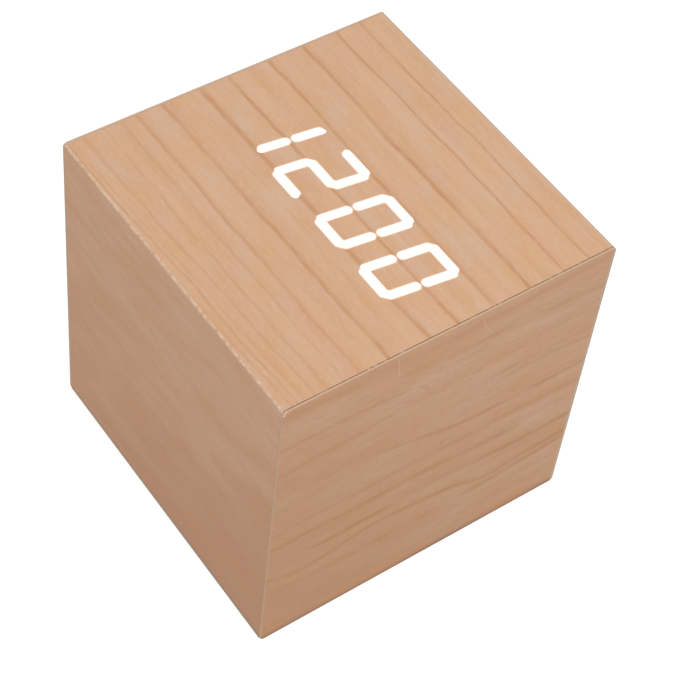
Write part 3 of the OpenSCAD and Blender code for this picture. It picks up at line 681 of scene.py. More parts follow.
def streak_masks(graph, along, below, streaks):
    """Strongest line, and band over it, at each place, of a sheet's dark streaks."""
    fineness_across = 3.0
    spot = graph.join(along, graph.times(below, fineness_across))
    uneven = graph.between(graph.ease(graph.noise(spot, scale=0.16), 0.3, 0.65), 0.6, 1.4)
    line = 0.0
    band = 0.0
    for points, depth, half_width in streaks:
        offset = graph.minus(below, bent_line(graph, along, points))
        first, last = points[0][0], points[-1][0]
        shown = graph.times(uneven, depth)
        if first > -HALF_MM:
            shown = graph.times(shown, graph.ease(along, first, first + STREAK_FADE))
        if last < HALF_MM:
            shown = graph.times(shown, graph.ease(along, last, last - STREAK_FADE))
        middle = graph.ease(graph.size(offset), half_width, 0.0)
        rise = graph.ease(offset, -BAND_OVER * half_width, 0.0)
        fall = graph.ease(offset, BAND_UNDER * half_width, 0.0)
        line = graph.most(graph.times(middle, shown), line)
        band = graph.most(graph.times(rise, fall, shown), band)
    return line, band


def wood_colour(graph, looks, grain, line, band, low, rosy, on_side):
    """Colour of the wood from its grain, growth lines, blush and how low it is on a side; its darker
    tone low down is partly painted shade.
    """
    marks = {}
    for name, shares in MARK_SHARES.items():
        marks[name] = graph.times(grain[name], graph.between(on_side, *shares))
    layers = (
        (graph.plus(graph.times(grain["Patch"], BLUSH_SHARE), rosy), looks.blush),
        (marks["Tan"], looks.tan),
        (marks["Streak"], looks.pale),
        # Darker tone low down: partly warmer wood, partly painted shade
        (low, looks.deep_and_shade),
        (graph.times(band, BAND_SHARE), looks.band),
        (marks["Fibre"], looks.band),
        (marks["Flecks"], looks.pale),
        (marks["Pores"], looks.pore),
        (line, looks.line),
    )
    shade = looks.wood
    for mask, tone in layers:
        shade = graph.blend(mask, shade, tone)
    return shade


def wood_surface(graph, grain, shade):
    """Shader inputs of wood: its colour, gloss and fibre relief."""
    relief = graph.minus(grain["Fibre"], grain["Pores"])
    return {
        "Base Color": shade,
        "Roughness": graph.between(grain["Fibre"], 0.46, 0.62),
        "Normal": graph.bump(relief, strength=0.25, distance_mm=0.02),
        "Specular IOR Level": 0.04,
    }


def turns(corner, stroke, strokes):
    """Whether a bar and an upright of a figure meet at this corner of a stroke."""
    return any(corner in STROKES[other] for other in strokes
               if (other in BARS) != (stroke in BARS))


def lit_lines(display):
    """Start and end, in millimetres, of the lines of light on the display face.

    Each lit stroke has one, and so has each corner that two strokes turn.
    """
    lean = math.tan(display.lean)
    for i, strokes in enumerate(SHOWN_STROKES):
        middle_x = display.digits_right + (i - (len(SHOWN_STROKES) - 1) / 2) * display.digit_pitch
        turned = {}
        for stroke in strokes:
            ends = []
            for right, up in STROKES[stroke]:
                rise = up * display.half_height
                x = middle_x + right * display.digit_width / 2 + rise * lean
                ends.append(Vector((x, display.digits_up + rise, 0.0)) / MM)
            way = (ends[1] - ends[0]).normalized() * display.stroke_width / MM
            for corner, end, inward in zip(STROKES[stroke], ends, (way, -way)):
                if turns(corner, stroke, strokes):
                    end += inward * TURN_TRIM
                    turned.setdefault(corner, []).append(end)
                else:
                    end += inward * END_TRIM
            yield ends
        yield from turned.values()


def bleed_light(graph, looks, display, x, y, on_display):
    """Shader inputs of the light that spreads a little way in the veneer round the strokes."""
    full_mark = 0.45
    reach = (display.stroke_width / 2 + looks.bleed_width) / MM
    spot = graph.join(x, y)
    bleed = 0.0
    for start, end in lit_lines(display):
        inputs = {"Place": spot, "Start": start, "End": end, "Width": reach}
        bleed = graph.most(graph.group(stroke_mark(), inputs)["Mark"], bleed)
    spread = graph.times(graph.ease(bleed, 0.0, full_mark), on_display)
    return {
        "Emission Color": graph.blend(spread, BLACK, looks.bleed),
        "Emission Strength": looks.bleed_strength,
    }


def add_foot_shade(graph, looks, height, grain, shade, dirt_and_shade):
    """Painted contact shade, with some dirt and rubbing, along the lower edge of a side."""
    near = graph.ease(height, looks.foot_shade_width / MM, 0.0)
    patchy = graph.between(grain["Patch"], 0.75, 1.05)
    return graph.tint(near, patchy, shade, dirt_and_shade)


def add_chip(graph, looks, spot, shade):
    """Pale wear round the chipped corner."""
    distance = graph.vectors("DISTANCE", spot, CHIPPED_CORNER, "Value")
    ragged = graph.plus(distance, graph.noise(spot, scale=2.5))
    reach = looks.chip_width / MM
    return graph.blend(graph.ease(ragged, reach + CHIP_BLUR, reach), shade, looks.chip)


def add_wear(graph, looks, spot, distance, cover, shade):
    """Pale wear along an edge, from the distance to it."""
    wear = graph.group(edge_wear(), {
        "Place": spot, "Distance": distance, "Width": looks.worn_width / MM, "Cover": cover,
    })["Wear"]
    return graph.blend(wear, shade, looks.worn)


def folded_veneer(looks, display):
    """Veneer that runs from the base face over the display to the upper face."""
    fold_blur = 0.4
    side_line_share = 0.45
    side_blush = 0.25
    # Deep wood and painted shade: reach of its clouds, rise to the right and share of its slants,
    # share near the base
    cloud_reach = 12.0
    gentle_rise = 0.12
    gentle_share = 0.75
    steep_rise = 0.76
    steep_share = 0.28
    base_shade_share = 0.12

    graph = Finish("folded_veneer")
    spot = graph.place_mm()
    x, y, z = graph.split(spot)
    below = graph.minus(CUBE_MM, z)
    unrolled = graph.plus(y, graph.times(graph.math("SIGN", y), below))
    grain = graph.group(wood_grain(), {"Place": graph.join(x, unrolled)})
    from_upper_fold = graph.minus(HALF_MM, unrolled)
    down = graph.minus(graph.size(unrolled), HALF_MM)
    to_fold = graph.size(down)
    on_side = graph.ease(down, 0.0, fold_blur)
    on_display = graph.minus(1.0, on_side)

    across = graph.plus(from_upper_fold, graph.times(grain["Waver"], FACE_WAVER))
    line, band = sheet_masks(graph, x, across, DISPLAY_LINES)
    side_across = graph.plus(down, graph.times(grain["Waver"], SIDE_WAVER))
    side_line, side_band = sheet_masks(graph, x, side_across, SIDE_LINES)
    side_line = graph.times(side_line, on_side, side_line_share)
    line = graph.plus(graph.times(line, on_display), side_line)
    band = graph.plus(graph.times(band, on_display), graph.times(side_band, on_side))

    # The wood is deeper and darker low on the sides, more so on a slant to the right, and near the
    # base: partly warmer wood, partly painted shade
    cloud = graph.sway(grain["Patch"], cloud_reach)
    gentle = graph.plus(down, cloud, graph.times(x, gentle_rise))
    steep = graph.plus(down, cloud, graph.times(x, steep_rise))
    low = graph.plus(
        graph.times(graph.ease(gentle, -8.0, 80.0), gentle_share),
        graph.times(graph.ease(steep, 30.0, 56.0), on_side, steep_share),
        graph.times(graph.ease(from_upper_fold, 25.0, CUBE_MM), on_display, base_shade_share),
    )
    rosy = graph.times(on_side, side_blush)
    shade = wood_colour(graph, looks, grain, line, band, low, rosy, on_side)

    # Painted contact shade, with some dirt, along the lower edges of the fold
    shade = add_foot_shade(graph, looks, z, grain, shade, looks.grey_foot_shade)
    shade = add_chip(graph, looks, spot, shade)
    shade = add_wear(graph, looks, spot, to_fold, FOLD_COVER, shade)
    # Painted shade on the rounded upper fold, which turns away from the light
    upper_fold = graph.times(graph.ease(to_fold, 0.85, 0.4), graph.ease(y, 0.0, 1.0))
    shade = graph.blend(upper_fold, shade, looks.grey_edge_shade)
    return graph.surface({
        **wood_surface(graph, grain, shade),
        **bleed_light(graph, looks, display, x, y, on_display),
    })


def end_veneer(looks):
    """Veneer of the two ends, with pale cut edges, scratches and a small knot."""
    # Depth in the grain for each millimetre of X, which sets the two ends apart
    grain_depth = 0.7
    # Deep wood and painted shade: reach of its clouds, its slant and its share
    cloud_reach = 14.0
    deep_shade_slant = 0.9
    deep_shade_share = 0.74
    # Amber wood over the lower edge: reach of its ragged rim, and its share
    amber_rag = 3.5
    amber_share = 0.85

    graph = Finish("end_veneer")
    spot = graph.place_mm()
    x, y, z = graph.split(spot)
    below = graph.minus(CUBE_MM, z)
    on_right = graph.ease(x, 0.0, 1.0)
    grain_spot = graph.join(y, below, graph.times(x, grain_depth))
    grain = graph.group(wood_grain(), {"Place": grain_spot})
    along = graph.times(y, graph.math("SIGN", x))

    wavy = graph.plus(below, graph.times(grain["Waver"], FACE_WAVER))
    line, band = streak_masks(graph, along, wavy, END_STREAKS)
    line = graph.times(line, graph.between(grain["Fibre"], 0.45, 1.15))
    # Darker towards the bottom, on a slant: partly warmer wood, partly painted shade
    cloud = graph.sway(grain["Patch"], cloud_reach)
    sunk = graph.minus(graph.plus(below, cloud), graph.times(along, deep_shade_slant))
    low = graph.times(graph.ease(sunk, 0.0, 85.0), deep_shade_share)
    rosy = graph.between(graph.ease(below, 9.0, 1.0), 0.4, 1.2)
    shade = wood_colour(graph, looks, grain, line, band, low, rosy, 1.0)
    ragged = graph.plus(z, graph.times(grain["Patch"], amber_rag))
    shade = graph.tint(graph.ease(ragged, 6.0, 1.0), amber_share, shade, looks.amber)

    face_spot = graph.join(y, below)
    marks = [(KNOT, KNOT_WIDTH, KNOT_SHARE, looks.line)]
    marks += [(points, looks.scratch_width / MM, SCRATCH_SHARE, looks.worn) for points in SCRATCHES]
    for points, half_width, share, tone in marks:
        mark = graph.times(chain_mask(graph, face_spot, points, half_width), on_right)
        shade = graph.tint(mark, share, shade, tone)

    # Painted contact shade, with some dirt, along the lower edges of the ends
    shade = add_foot_shade(graph, looks, z, grain, shade, looks.foot)
    shade = add_chip(graph, looks, spot, shade)
    to_side = graph.minus(HALF_MM, graph.size(y))
    to_edge = graph.math("MINIMUM", below, to_side)
    shade = add_wear(graph, looks, spot, to_edge, END_COVER, shade)
    # Painted shade on the edge that turns to the upper face, away from the light
    upper_edge = graph.ease(graph.minus(HALF_MM, y), 0.75, 0.3)
    shade = graph.blend(upper_edge, shade, looks.grey_edge_shade)
    # Cut edges: pale on the right end, grey with painted shade on the left end
    inside = graph.minus(HALF_MM, graph.size(x))
    cut_and_shade_tone = graph.blend(on_right, looks.grey_edge_shade, looks.cut)
    shade = graph.blend(graph.ease(inside, 0.01, 0.03), shade, cut_and_shade_tone)
    return graph.surface(wood_surface(graph, grain, shade))


def seam_material(looks):
    """Filler of the seams: dark dirt and painted groove shade on the right of the display, and pale
    glue elsewhere.
    """
    graph = Finish("seam_filler")
    spot = graph.place_mm()
    x, _, height = graph.split(spot)
    on_display = graph.ease(height, CUBE_MM - 0.6, CUBE_MM - 0.1)
    dark_right_end = graph.between(graph.ease(x, 0.0, 1.0), 0.1, 1.0)
    smears = graph.noise(spot, scale=1.2, detail=3.0)
    # Dark seam on the display: dirt, and painted shade of the groove that the filler fills
    dirt_and_shade = graph.times(on_display, graph.ease(smears, 0.2, 0.5), dark_right_end)
    return graph.surface({
        "Base Color": graph.blend(dirt_and_shade, looks.filler, looks.seam),
        "Roughness": graph.ease(smears, -0.6, 1.0),
    })


def lit_material(looks):
    """Light of the strokes, a little warmer in places."""
    graph = Finish("lit_strokes")
    warmer = graph.ease(graph.noise(graph.place_mm(), scale=0.5, detail=1.0), 0.4, 0.7)
    return graph.surface({
        "Base Color": looks.unlit,
        "Emission Color": graph.blend(warmer, looks.glow, looks.rim),
        "Emission Strength": looks.glow_strength,
        "Roughness": 0.5,
        "Specular IOR Level": 0.1,
    })


def moulded(name, shade, dust=None, grain=5.0, roughness=0.42):
    """Moulded plastic with a fine grain, a little painted sheen, and dust where a colour is given for
    it.
    """
    painted_sheen_share = 0.03
    dust_share = 0.3
    graph = Finish(name)
    skin = graph.group(moulded_grain(), {"Place": graph.place_mm(), "Grain": grain})
    # A little white where the gloss mask is high: painted sheen
    shade = graph.tint(skin["Gloss"], painted_sheen_share, shade, WHITE)
    if dust:
        shade = graph.tint(skin["Dust"], dust_share, shade, dust)
    return graph.surface({
        "Base Color": shade,
        "Roughness": graph.between(skin["Gloss"], roughness - 0.12, roughness + 0.13),
        "Normal": graph.bump(skin["Height"], strength=0.3, distance_mm=0.03),
    })


def metal(name, shade, dull_shade, roughness=0.25):
    """Plated metal with drawn lines and dull patches."""
    dull_share = 0.6
    graph = Finish(name)
    finish = graph.group(metal_finish(), {"Place": graph.place_mm()})
    return graph.surface({
        "Base Color": graph.tint(finish["Dull"], dull_share, shade, dull_shade),
        "Roughness": graph.between(finish["Dull"], roughness, roughness + 0.2),
        "Normal": graph.bump(finish["Drawn"], strength=0.15, distance_mm=0.01),
        "Metallic": 1.0,
    })


def fibreboard(looks):
    """Raw fibreboard with pressed fibres."""
    fineness = (2.2, 2.2, 1.4)
    fibre_share = 0.6
    graph = Finish("fibreboard")
    spot = graph.place_mm()
    fibres = graph.noise(graph.stretch(spot, fineness), detail=5.0, roughness=0.7)
    blotches = graph.noise(spot, scale=0.35)
    dark = graph.plus(graph.ease(fibres, 0.45, 0.7), graph.ease(blotches, 0.5, 0.9))
    return graph.surface({
        "Base Color": graph.tint(dark, fibre_share, looks.fibreboard, looks.fibre),
        "Roughness": graph.plus(graph.ease(fibres, 0.0, 2.0), 0.7),
        "Normal": graph.bump(fibres, strength=0.5, distance_mm=0.08),
    })


def circuit_board(looks):
    """Green lacquer over copper tracks."""
    graph = Finish("circuit_lacquer")
    spot = graph.place_mm()
    tracks = graph.node("ShaderNodeTexBrick", {
        "Vector": spot, "Scale": 0.22, "Mortar Size": 0.035, "Mortar Smooth": 0.1,
        "Color1": BLACK, "Color2": BLACK, "Mortar": WHITE,
    }).outputs["Color"]
    sheen = graph.noise(spot, scale=0.4, detail=3.0)
    return graph.surface({
        "Base Color": graph.blend(tracks, looks.board, looks.track),
        "Roughness": graph.between(sheen, 0.25, 0.45),
        "Normal": graph.bump(tracks, strength=0.3, distance_mm=0.03),
    })


def new_piece(name, mesh, material, body, replaced=(), placed=None):
    """Links a mesh as a piece that rides on a body and may stand for CAD nodes."""
    mesh.materials.append(material)
    piece = bpy.data.objects.new(name, mesh)
    bpy.context.scene.collection.objects.link(piece)
    if placed:
        piece.matrix_world = placed
    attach(piece, body)
    if replaced:
        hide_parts(*replaced)


def mesh_of(name, smooth_below, build, *given):
    """A mesh filled in by a bmesh function, shaded smooth below an angle in degrees."""
    mesh = bpy.data.meshes.new(name)
    work = bmesh.new()
    build(work, *given)
    bmesh.ops.recalc_face_normals(work, faces=work.faces)
    if smooth_below is not None:
        limit = math.radians(smooth_below)
        for face in work.faces:
            face.smooth = True
        for edge in work.edges:
            edge.smooth = edge.is_manifold and edge.calc_face_angle() < limit
    work.to_mesh(mesh)
    work.free()
    return mesh


def new_ring(work, middle, across, up, radius, count, first_turn=0.0):
    """A ring of vertices round a point, in the plane of two directions."""
    ring = []
    for k in range(count):
        turn = first_turn + math.tau * k / count
        spot = middle + radius * (math.cos(turn) * across + math.sin(turn) * up)
        ring.append(work.verts.new(spot))
    return ring


def join_rings(work, rings):
    """Skins a row of rings of vertices, each with the same count, and closes its ends."""
    count = len(rings[0])
    for first, second in zip(rings, rings[1:]):
        for k in range(count):
            after = (k + 1) % count
            work.faces.new((first[k], first[after], second[after], second[k]))
    work.faces.new(reversed(rings[0]))
    work.faces.new(rings[-1])


def add_tube(work, path, radius, sides):
    """A round tube along a path of points."""
    rings = []
    side_way = None
    for i, point in enumerate(path):
        ahead = (path[min(i + 1, len(path) - 1)] - path[max(i - 1, 0)]).normalized()
        if side_way is None:
            side_way = ahead.orthogonal().normalized()
        side_way = (side_way - ahead * side_way.dot(ahead)).normalized()
        rings.append(new_ring(work, point, side_way, ahead.cross(side_way), radius, sides))
    join_rings(work, rings)


def add_turned(work, outline, steps):
    """A turned solid: its outline is distance along the axis and radius, on local Z."""
    rings = []
    for along, radius in outline:
        middle = Vector((0.0, 0.0, along))
        rings.append(new_ring(work, middle, X_WAY, Y_WAY, radius, steps))
    join_rings(work, rings)


def arc(along, outward, radius, first, last, steps):
    """Points of an arc of an outline round a centre, with angles in degrees from the outward way."""
    points = []
    for i in range(steps + 1):
        turn = math.radians(first + (last - first) * i / steps)
        points.append((along + radius * math.sin(turn), outward + radius * math.cos(turn)))
    return points


class CLOCK_OT_veneers(bpy.types.Operator):
    """Dress the folded veneer and the end veneers in wood, and fill their seams"""

    bl_idname = "clock.veneers"
    bl_label = "Veneers"

    fold_steps = 8
    # Sizes of the filler and of the case that it follows, in millimetres
    filler_sink = 0.03
    filler_depth = 0.12
    filler_play = 0.005
    fold_radius = 0.6
    worn_height = 1.3

    def case_outline(self, sink):
        """Outline of the case seen along X, as height and Y in millimetres, sunk below its faces."""
        radius = self.fold_radius - sink
        fold_y = HALF_MM - self.fold_radius
        fold_z = CUBE_MM - self.fold_radius
        side_y = HALF_MM - sink
        return [
            (0.0, -side_y), (self.worn_height, -side_y),
            *arc(fold_z, -fold_y, radius, 180, 90, self.fold_steps),
            *arc(fold_z, fold_y, radius, 90, 0, self.fold_steps),
            (self.worn_height, side_y), (0.0, side_y),
        ]

    def add_filler(self, work, side):
        """A strip of filler in the seam beside one end veneer, pulled in at the worn corners."""
        middle = Vector((0.0, 0.0, HALF_MM))
        corners = cad_nodes["right_veneer"].data.vertices
        reach = max((vertex.co / MM - middle).length for vertex in corners) - self.filler_sink
        inner_x = side * (WRAP_END_MM + self.filler_play)
        outer_x = side * (END_VENEER_MM - self.filler_play)
        top = self.case_outline(self.filler_sink)
        bottom = self.case_outline(self.filler_sink + self.filler_depth)
        rings = []
        for (top_z, top_y), (low_z, low_y) in zip(top, bottom):
            ring = []
            for corner in ((inner_x, top_y, top_z), (outer_x, top_y, top_z),
                           (outer_x, low_y, low_z), (inner_x, low_y, low_z)):
                away = Vector(corner) - middle
                spot = middle + away * min(1.0, reach / away.length)
                ring.append(work.verts.new(spot * MM))
            rings.append(ring)
        join_rings(work, rings)

    def execute(self, context):
        looks = context.scene.clock_veneer
        dress(folded_veneer(looks, context.scene.clock_display), "veneer_wrap")
        dress(end_veneer(looks), "right_veneer", "left_veneer")
        material = seam_material(looks)
        for name, side in (("right_seam_filler", 1), ("left_seam_filler", -1)):
            mesh = mesh_of(name, TURNED_SMOOTH, self.add_filler, side)
            new_piece(name, mesh, material, "case")
        return {"FINISHED"}


class CLOCK_OT_boards(bpy.types.Operator):
    """Dress the boards and the corner posts in raw fibreboard"""

    bl_idname = "clock.boards"
    bl_label = "Boards"

    def execute(self, context):
        dress(
            fibreboard(context.scene.clock_back), "base_board", "right_board", "upper_board",
            "left_board", "front_board", "corner_posts",
        )
        return {"FINISHED"}


class CLOCK_OT_display(bpy.types.Operator):
    """Light the strokes and dress the display behind them"""

    bl_idname = "clock.display"
    bl_label = "Display"

    def execute(self, context):
        looks = context.scene.clock_display
        back = context.scene.clock_back
        dress(lit_material(looks), "lit_segments")
        dress(moulded("milky_plastic", looks.milky, roughness=0.3), "diffuser_sheet",
              "segment_leds", "battery_socket", "ribbon_sockets", "set_plunger", "up_plunger",
              "down_plunger")
        dress(moulded("mask_plastic", looks.mask), "segment_mask", "key_switches")
        dress(circuit_board(looks), "led_board", "key_board")
        dress(moulded("chip_resin", looks.resin, grain=9.0, roughness=0.55), "clock_chip",
              "driver_chip", "buzzer", "segment_resistors")
        dress(moulded("capacitor_sleeve", looks.sleeve, roughness=0.3), "buffer_capacitor")
        dress(moulded("ribbon_plastic", looks.ribbon, roughness=0.4), "key_ribbon")
        dress(metal("crystal_can", back.steel, back.tarnish), "clock_crystal")
        return {"FINISHED"}


class CLOCK_OT_back(bpy.types.Operator):
    """Dress the back panel, its door, its screws, the keys and the power socket"""

    bl_idname = "clock.back"
    bl_label = "Back"

    # Marks on the keys: their sides and turn in degrees, and their sizes
    marks = (("set", 24, 0), ("up", 3, 90), ("down", 3, -90))
    mark_radius = 1.1 * MM
    mark_height = 0.06 * MM
    mark_sink = 0.02 * MM

    def add_mark(self, work, key_name, sides, turn):
        """A low painted mark on the outer face of a key."""
        low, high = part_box(key_name)
        middle = (low + high) / 2
        rings = []
        for height in (self.mark_sink, -self.mark_height):
            centre = Vector((middle.x, middle.y, low.z + height))
            rings.append(new_ring(
                work, centre, X_WAY, Y_WAY, self.mark_radius, sides, math.radians(turn)))
        join_rings(work, rings)

    def execute(self, context):
        looks = context.scene.clock_back
        keys = [f"{key}_button" for key, _, _ in self.marks]
        panel = moulded("panel_plastic", looks.plastic, looks.dust, grain=4.0, roughness=0.5)
        dress(panel, "back_panel", "battery_door")
        dress(moulded("socket_plastic", looks.plastic, roughness=0.3), "power_socket")
        dress(moulded("key_plastic", looks.key, looks.dust, grain=7.0, roughness=0.38), *keys)
        steel = metal("screw_steel", looks.steel, looks.tarnish)
        dress(steel, "back_panel_screws", "led_board_screws", "key_board_screws")
        dress(metal("brass_pin", looks.brass, looks.tarnish), "power_pin")
        soften(looks.soft_edge, "back_panel", "battery_door", *keys)
        paint = moulded("mark_paint", looks.mark, looks.dust)
        for key, sides, turn in self.marks:
            name = f"{key}_mark"
            mesh = mesh_of(name, None, self.add_mark, f"{key}_button", sides, turn)
            new_piece(name, mesh, paint, f"{key}_key")
        return {"FINISHED"}


class CLOCK_OT_battery(bpy.types.Operator):
    """Build the battery cells, their springs and their leads, and dress the contacts"""

    bl_idname = "clock.battery"
    bl_label = "Battery"

    cell_count = 3
    cell_steps = 64
    spring_steps = 24
    spring_sides = 10
    lead_steps = 40
    lead_sides = 16
    bend_steps = 6
    nub_steps = 4
    # Film of a cell: its bend over the rim, its lap on the end and its thickness
    film_bend = 0.5 * MM
    film_lap = 0.7 * MM
    film_thickness = 0.1 * MM
    # Radius of the middle of the dished flat end, and rounding of the nub
    dish_middle = 0.4 * MM
    nub_round = 0.25 * MM
    # Print on the film: distances along the cell and blur, in millimetres, and its scuffs
    ring_start = 31.4
    ring_end = 32.1
    collar_start = 32.9
    print_blur = 0.1
    scuff_fineness = (2.0, 2.0, 0.3)
    scuff_share = 0.05

    def execute(self, context):
        looks = context.scene.clock_battery
        back = context.scene.clock_back
        dress(metal("contact_steel", back.steel, back.tarnish), "battery_contacts")
        self.add_leads(looks, back)
        self.add_springs(looks, back)
        self.add_cells(looks, back)
        return {"FINISHED"}

    def cell_frame(self, i, looks):
        """Place of a cell's flat end, with local Z along the cell towards its nub."""
        low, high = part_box("battery_cells")
        pitch = (high.y - low.y - (high.z - low.z)) / (self.cell_count - 1)
        way = 1 if i % 2 == 0 else -1
        start = low.x + looks.spring_length if way > 0 else high.x - looks.spring_length
        middle_y = (low.y + high.y) / 2 + (i - (self.cell_count - 1) / 2) * pitch
        placed = Matrix.Translation((start, middle_y, (low.z + high.z) / 2))
        return placed @ Matrix.Rotation(math.radians(90 * way), 4, "Y")

    def cell_outlines(self, looks):
        """Outlines of a cell's film, flat end, washer and nub: distance along and radius."""
        low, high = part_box("battery_cells")
        radius = (high.z - low.z) / 2
        nub_end = high.x - low.x - looks.spring_length
        shoulder = nub_end - looks.nub_length
        nub_r = looks.nub_radius
        bend = self.film_bend
        lap = self.film_lap
        film = self.film_thickness
        soft = self.nub_round
        rim = radius - bend
        return {
            "film": [
                (film, rim - lap), (0.0, rim - lap),
                *arc(bend, rim, bend, -90, 0, self.bend_steps),
                *arc(shoulder - bend, rim, bend, 0, 90, self.bend_steps),
                (shoulder, rim - lap), (shoulder - film, rim - lap),
            ],
            "flat_end": [
                (film, self.dish_middle), (0.5 * film, rim - 2 * lap), (film, rim - lap),
                (2 * film, rim),
            ],
            "washer": [
                (shoulder - 3 * film, rim), (shoulder - film, rim - lap),
                (shoulder - 2 * film, nub_r + lap), (shoulder - 3 * film, nub_r),
            ],
            "nub": [
                (shoulder - 4 * film, nub_r + 0.5 * lap), (shoulder, nub_r),
                *arc(nub_end - soft, nub_r - soft, soft, 0, 90, self.nub_steps),
            ],
        }

    def add_cells(self, looks, back):
        """Three turned cells, each with a printed film, steel ends and a washer."""
        steel = metal("cell_steel", back.steel, back.tarnish, roughness=0.3)
        finishes = {
            "film": self.film_material(looks),
            "flat_end": steel,
            "washer": moulded("cell_washer", looks.washer, back.dust, roughness=0.5),
            "nub": steel,
        }
        for i in range(self.cell_count):
            placed = self.cell_frame(i, looks)
            for part, outline in self.cell_outlines(looks).items():
                name = f"battery_cell_{i + 1}_{part}"
                mesh = mesh_of(name, TURNED_SMOOTH, add_turned, outline, self.cell_steps)
                new_piece(name, mesh, finishes[part], "case", ["battery_cells"], placed)

    def film_material(self, looks):
        """Printed film: a plain coloured sleeve with a pale collar and a thin ring."""
        graph = Finish("cell_film")
        spot = graph.place_mm()
        along = graph.split(spot)[2]
        blur = self.print_blur
        scuffs = graph.noise(graph.stretch(spot, self.scuff_fineness), detail=4.0, roughness=0.6)
        collar = graph.ease(along, self.collar_start, self.collar_start + blur)
        ring = graph.times(graph.ease(along, self.ring_start, self.ring_start + blur),
                           graph.ease(along, self.ring_end, self.ring_end - blur))
        shade = graph.tint(scuffs, self.scuff_share, looks.jacket, WHITE)
        return graph.surface({
            "Base Color": graph.blend(graph.most(collar, ring), shade, looks.collar),
            "Roughness": graph.between(scuffs, 0.15, 0.3),
            "Normal": graph.bump(scuffs, strength=0.03, distance_mm=0.02),
        })

    def add_springs(self, looks, back):
        """One smooth coil of wire at the flat end of each cell."""
        steel = metal("spring_steel", back.steel, back.tarnish, roughness=0.2)
        wire_radius = looks.spring_wire / 2
        rise = looks.spring_length - looks.spring_wire
        count = int(looks.spring_turns * self.spring_steps)
        path = []
        for k in range(count + 1):
            turn = math.tau * k / self.spring_steps
            along = wire_radius + rise * k / count - looks.spring_length
            path.append(Vector((looks.spring_radius * math.cos(turn),
                                looks.spring_radius * math.sin(turn), along)))
        for i in range(self.cell_count):
            name = f"battery_spring_{i + 1}"
            mesh = mesh_of(name, TUBE_SMOOTH, add_tube, path, wire_radius, self.spring_sides)
            new_piece(name, mesh, steel, "case", ["battery_springs"],
                      self.cell_frame(i, looks))

    def add_leads(self, looks, back):
        """Two leads from the solder tags up to the battery socket, each on one curve."""
        radius = looks.lead_radius
        pull = Vector((0.0, 0.0, looks.lead_pull))
        for wire, side, shade in (("red", 1, back.red_wire), ("black", -1, back.black_wire)):
            node = f"battery_lead_{wire}"
            low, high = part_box(node)
            inner_x = low.x + radius if side > 0 else high.x - radius
            outer_x = high.x - radius if side > 0 else low.x + radius
            start = Vector((outer_x, high.y - radius, low.z))
            end = Vector((inner_x, low.y + radius, high.z))
            path = []
            for k in range(self.lead_steps + 1):
                t = k / self.lead_steps
                u = 1 - t
                path.append(u ** 3 * start + 3 * u * u * t * (start + pull)
                            + 3 * u * t * t * (end - pull) + t ** 3 * end)
            name = f"{wire}_battery_wire"
            mesh = mesh_of(name, TUBE_SMOOTH, add_tube, path, radius, self.lead_sides)
            material = moulded(f"{wire}_wire_plastic", shade, roughness=0.35)
            new_piece(name, mesh, material, "case", [node])


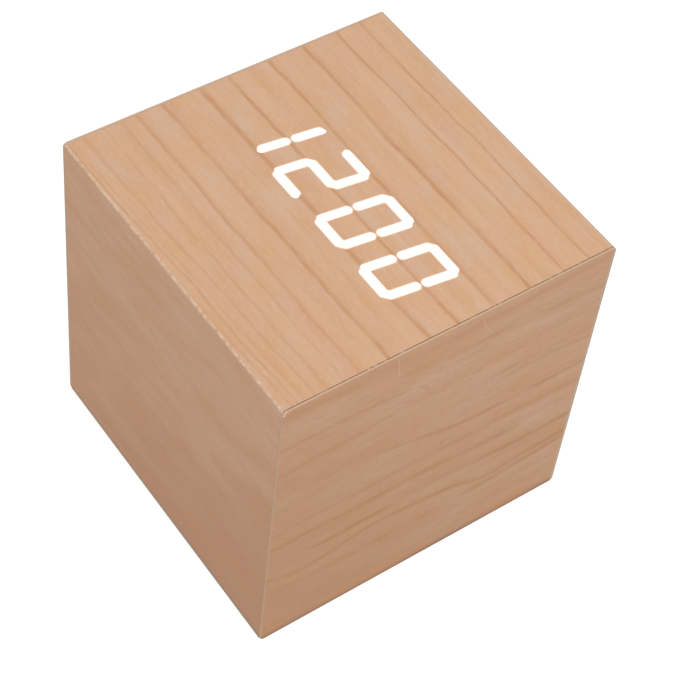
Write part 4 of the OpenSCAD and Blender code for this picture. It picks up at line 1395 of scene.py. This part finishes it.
class CLOCK_OT_stage(bpy.types.Operator):
    """Set up the floor, the soft light and the camera"""

    bl_idname = "clock.stage"
    bl_label = "Stage"

    floor_half = 6.0
    floor_drop = 0.00002
    near_clip = 0.01

    def seen_share(self, graph):
        """1 for rays that show the background, and 0 for rays that light things."""
        path = graph.node("ShaderNodeLightPath").outputs
        seen = graph.most(path["Is Camera Ray"], path["Is Glossy Ray"])
        return graph.most(seen, path["Is Transmission Ray"])

    def make_floor(self, scene, looks):
        """A pale floor that is seen from above only, and keeps the clock's shadow."""
        material = bpy.data.materials.new("floor")
        material.use_nodes = True
        material.node_tree.nodes.clear()
        graph = Graph(material.node_tree)
        matt = graph.node("ShaderNodeBsdfDiffuse", {"Color": looks.floor})
        strength = graph.times(self.seen_share(graph), looks.floor_glow)
        glow = graph.node("ShaderNodeEmission", {"Color": WHITE, "Strength": strength})
        lit = graph.node("ShaderNodeAddShader", {0: matt.outputs[0], 1: glow.outputs[0]})
        clear = graph.node("ShaderNodeBsdfTransparent")
        under = graph.node("ShaderNodeNewGeometry").outputs["Backfacing"]
        mixed = graph.node(
            "ShaderNodeMixShader", {0: under, 1: lit.outputs[0], 2: clear.outputs[0]})
        graph.node("ShaderNodeOutputMaterial", {"Surface": mixed.outputs[0]})
        mesh = bpy.data.meshes.new("floor")
        reach = self.floor_half
        corners = [(-reach, -reach), (reach, -reach), (reach, reach), (-reach, reach)]
        mesh.from_pydata([(x, y, -self.floor_drop) for x, y in corners], [], [range(4)])
        mesh.materials.append(material)
        floor = bpy.data.objects.new("floor", mesh)
        scene.collection.objects.link(floor)
        floor.visible_diffuse = False
        floor.visible_shadow = False

    def make_light(self, scene, looks):
        """An even surround that the camera sees as white, and one soft lamp overhead."""
        world = bpy.data.worlds.new("studio")
        world.use_nodes = True
        world.node_tree.nodes.clear()
        graph = Graph(world.node_tree)
        strength = graph.between(self.seen_share(graph), looks.fill, 1.0)
        sky = graph.node("ShaderNodeBackground", {"Color": WHITE, "Strength": strength})
        graph.node("ShaderNodeOutputWorld", {"Surface": sky.outputs[0]})
        scene.world = world
        data = bpy.data.lights.new("key", "AREA")
        data.energy = looks.key_power
        data.size = looks.key_size
        lamp = bpy.data.objects.new("key", data)
        lamp.location = looks.key_place
        lamp.rotation_euler = (-Vector(looks.key_place)).to_track_quat("-Z", "Y").to_euler()
        scene.collection.objects.link(lamp)

    def make_camera(self, scene, looks):
        """The camera, at the photograph's viewing angle."""
        data = bpy.data.cameras.new("camera")
        data.lens = looks.lens
        data.clip_start = self.near_clip
        camera = bpy.data.objects.new("camera", data)
        camera.location = looks.camera_place
        camera.rotation_euler = looks.camera_turn
        scene.collection.objects.link(camera)
        scene.camera = camera

    def execute(self, context):
        looks = context.scene.clock_stage
        self.make_floor(context.scene, looks)
        self.make_light(context.scene, looks)
        self.make_camera(context.scene, looks)
        context.scene.view_settings.view_transform = "Standard"
        return {"FINISHED"}


SETTINGS = {
    "clock_veneer": VeneerLooks,
    "clock_display": DisplayLooks,
    "clock_back": BackLooks,
    "clock_battery": BatteryLooks,
    "clock_stage": StageLooks,
}
OPERATORS = (
    CLOCK_OT_stage, CLOCK_OT_veneers, CLOCK_OT_boards, CLOCK_OT_display, CLOCK_OT_back,
    CLOCK_OT_battery,
)


class CLOCK_PT_panel(bpy.types.Panel):
    """Lists the clock's looks and the steps that apply them"""

    bl_idname = "CLOCK_PT_panel"
    bl_label = "Cube clock"
    bl_space_type = "VIEW_3D"
    bl_region_type = "UI"
    bl_category = "Cube clock"

    def draw(self, context):
        for name, kind in SETTINGS.items():
            box = self.layout.box()
            box.label(text=kind.__doc__)
            for prop in kind.__annotations__:
                box.prop(getattr(context.scene, name), prop)
        for operator in OPERATORS:
            self.layout.operator(operator.bl_idname)


CLASSES = (*SETTINGS.values(), *OPERATORS, CLOCK_PT_panel)


def register():
    """Registers the classes and hangs the looks on the scene."""
    for kind in CLASSES:
        bpy.utils.register_class(kind)
    for name, kind in SETTINGS.items():
        setattr(bpy.types.Scene, name, bpy.props.PointerProperty(type=kind))


def unregister():
    """Takes back what register did."""
    for name in SETTINGS:
        delattr(bpy.types.Scene, name)
    for kind in reversed(CLASSES):
        bpy.utils.unregister_class(kind)


def main():
    """Dresses the clock in order."""
    register()
    for operator in OPERATORS:
        getattr(bpy.ops.clock, operator.bl_idname.split(".")[1])()


if __name__ == "__main__":
    main()
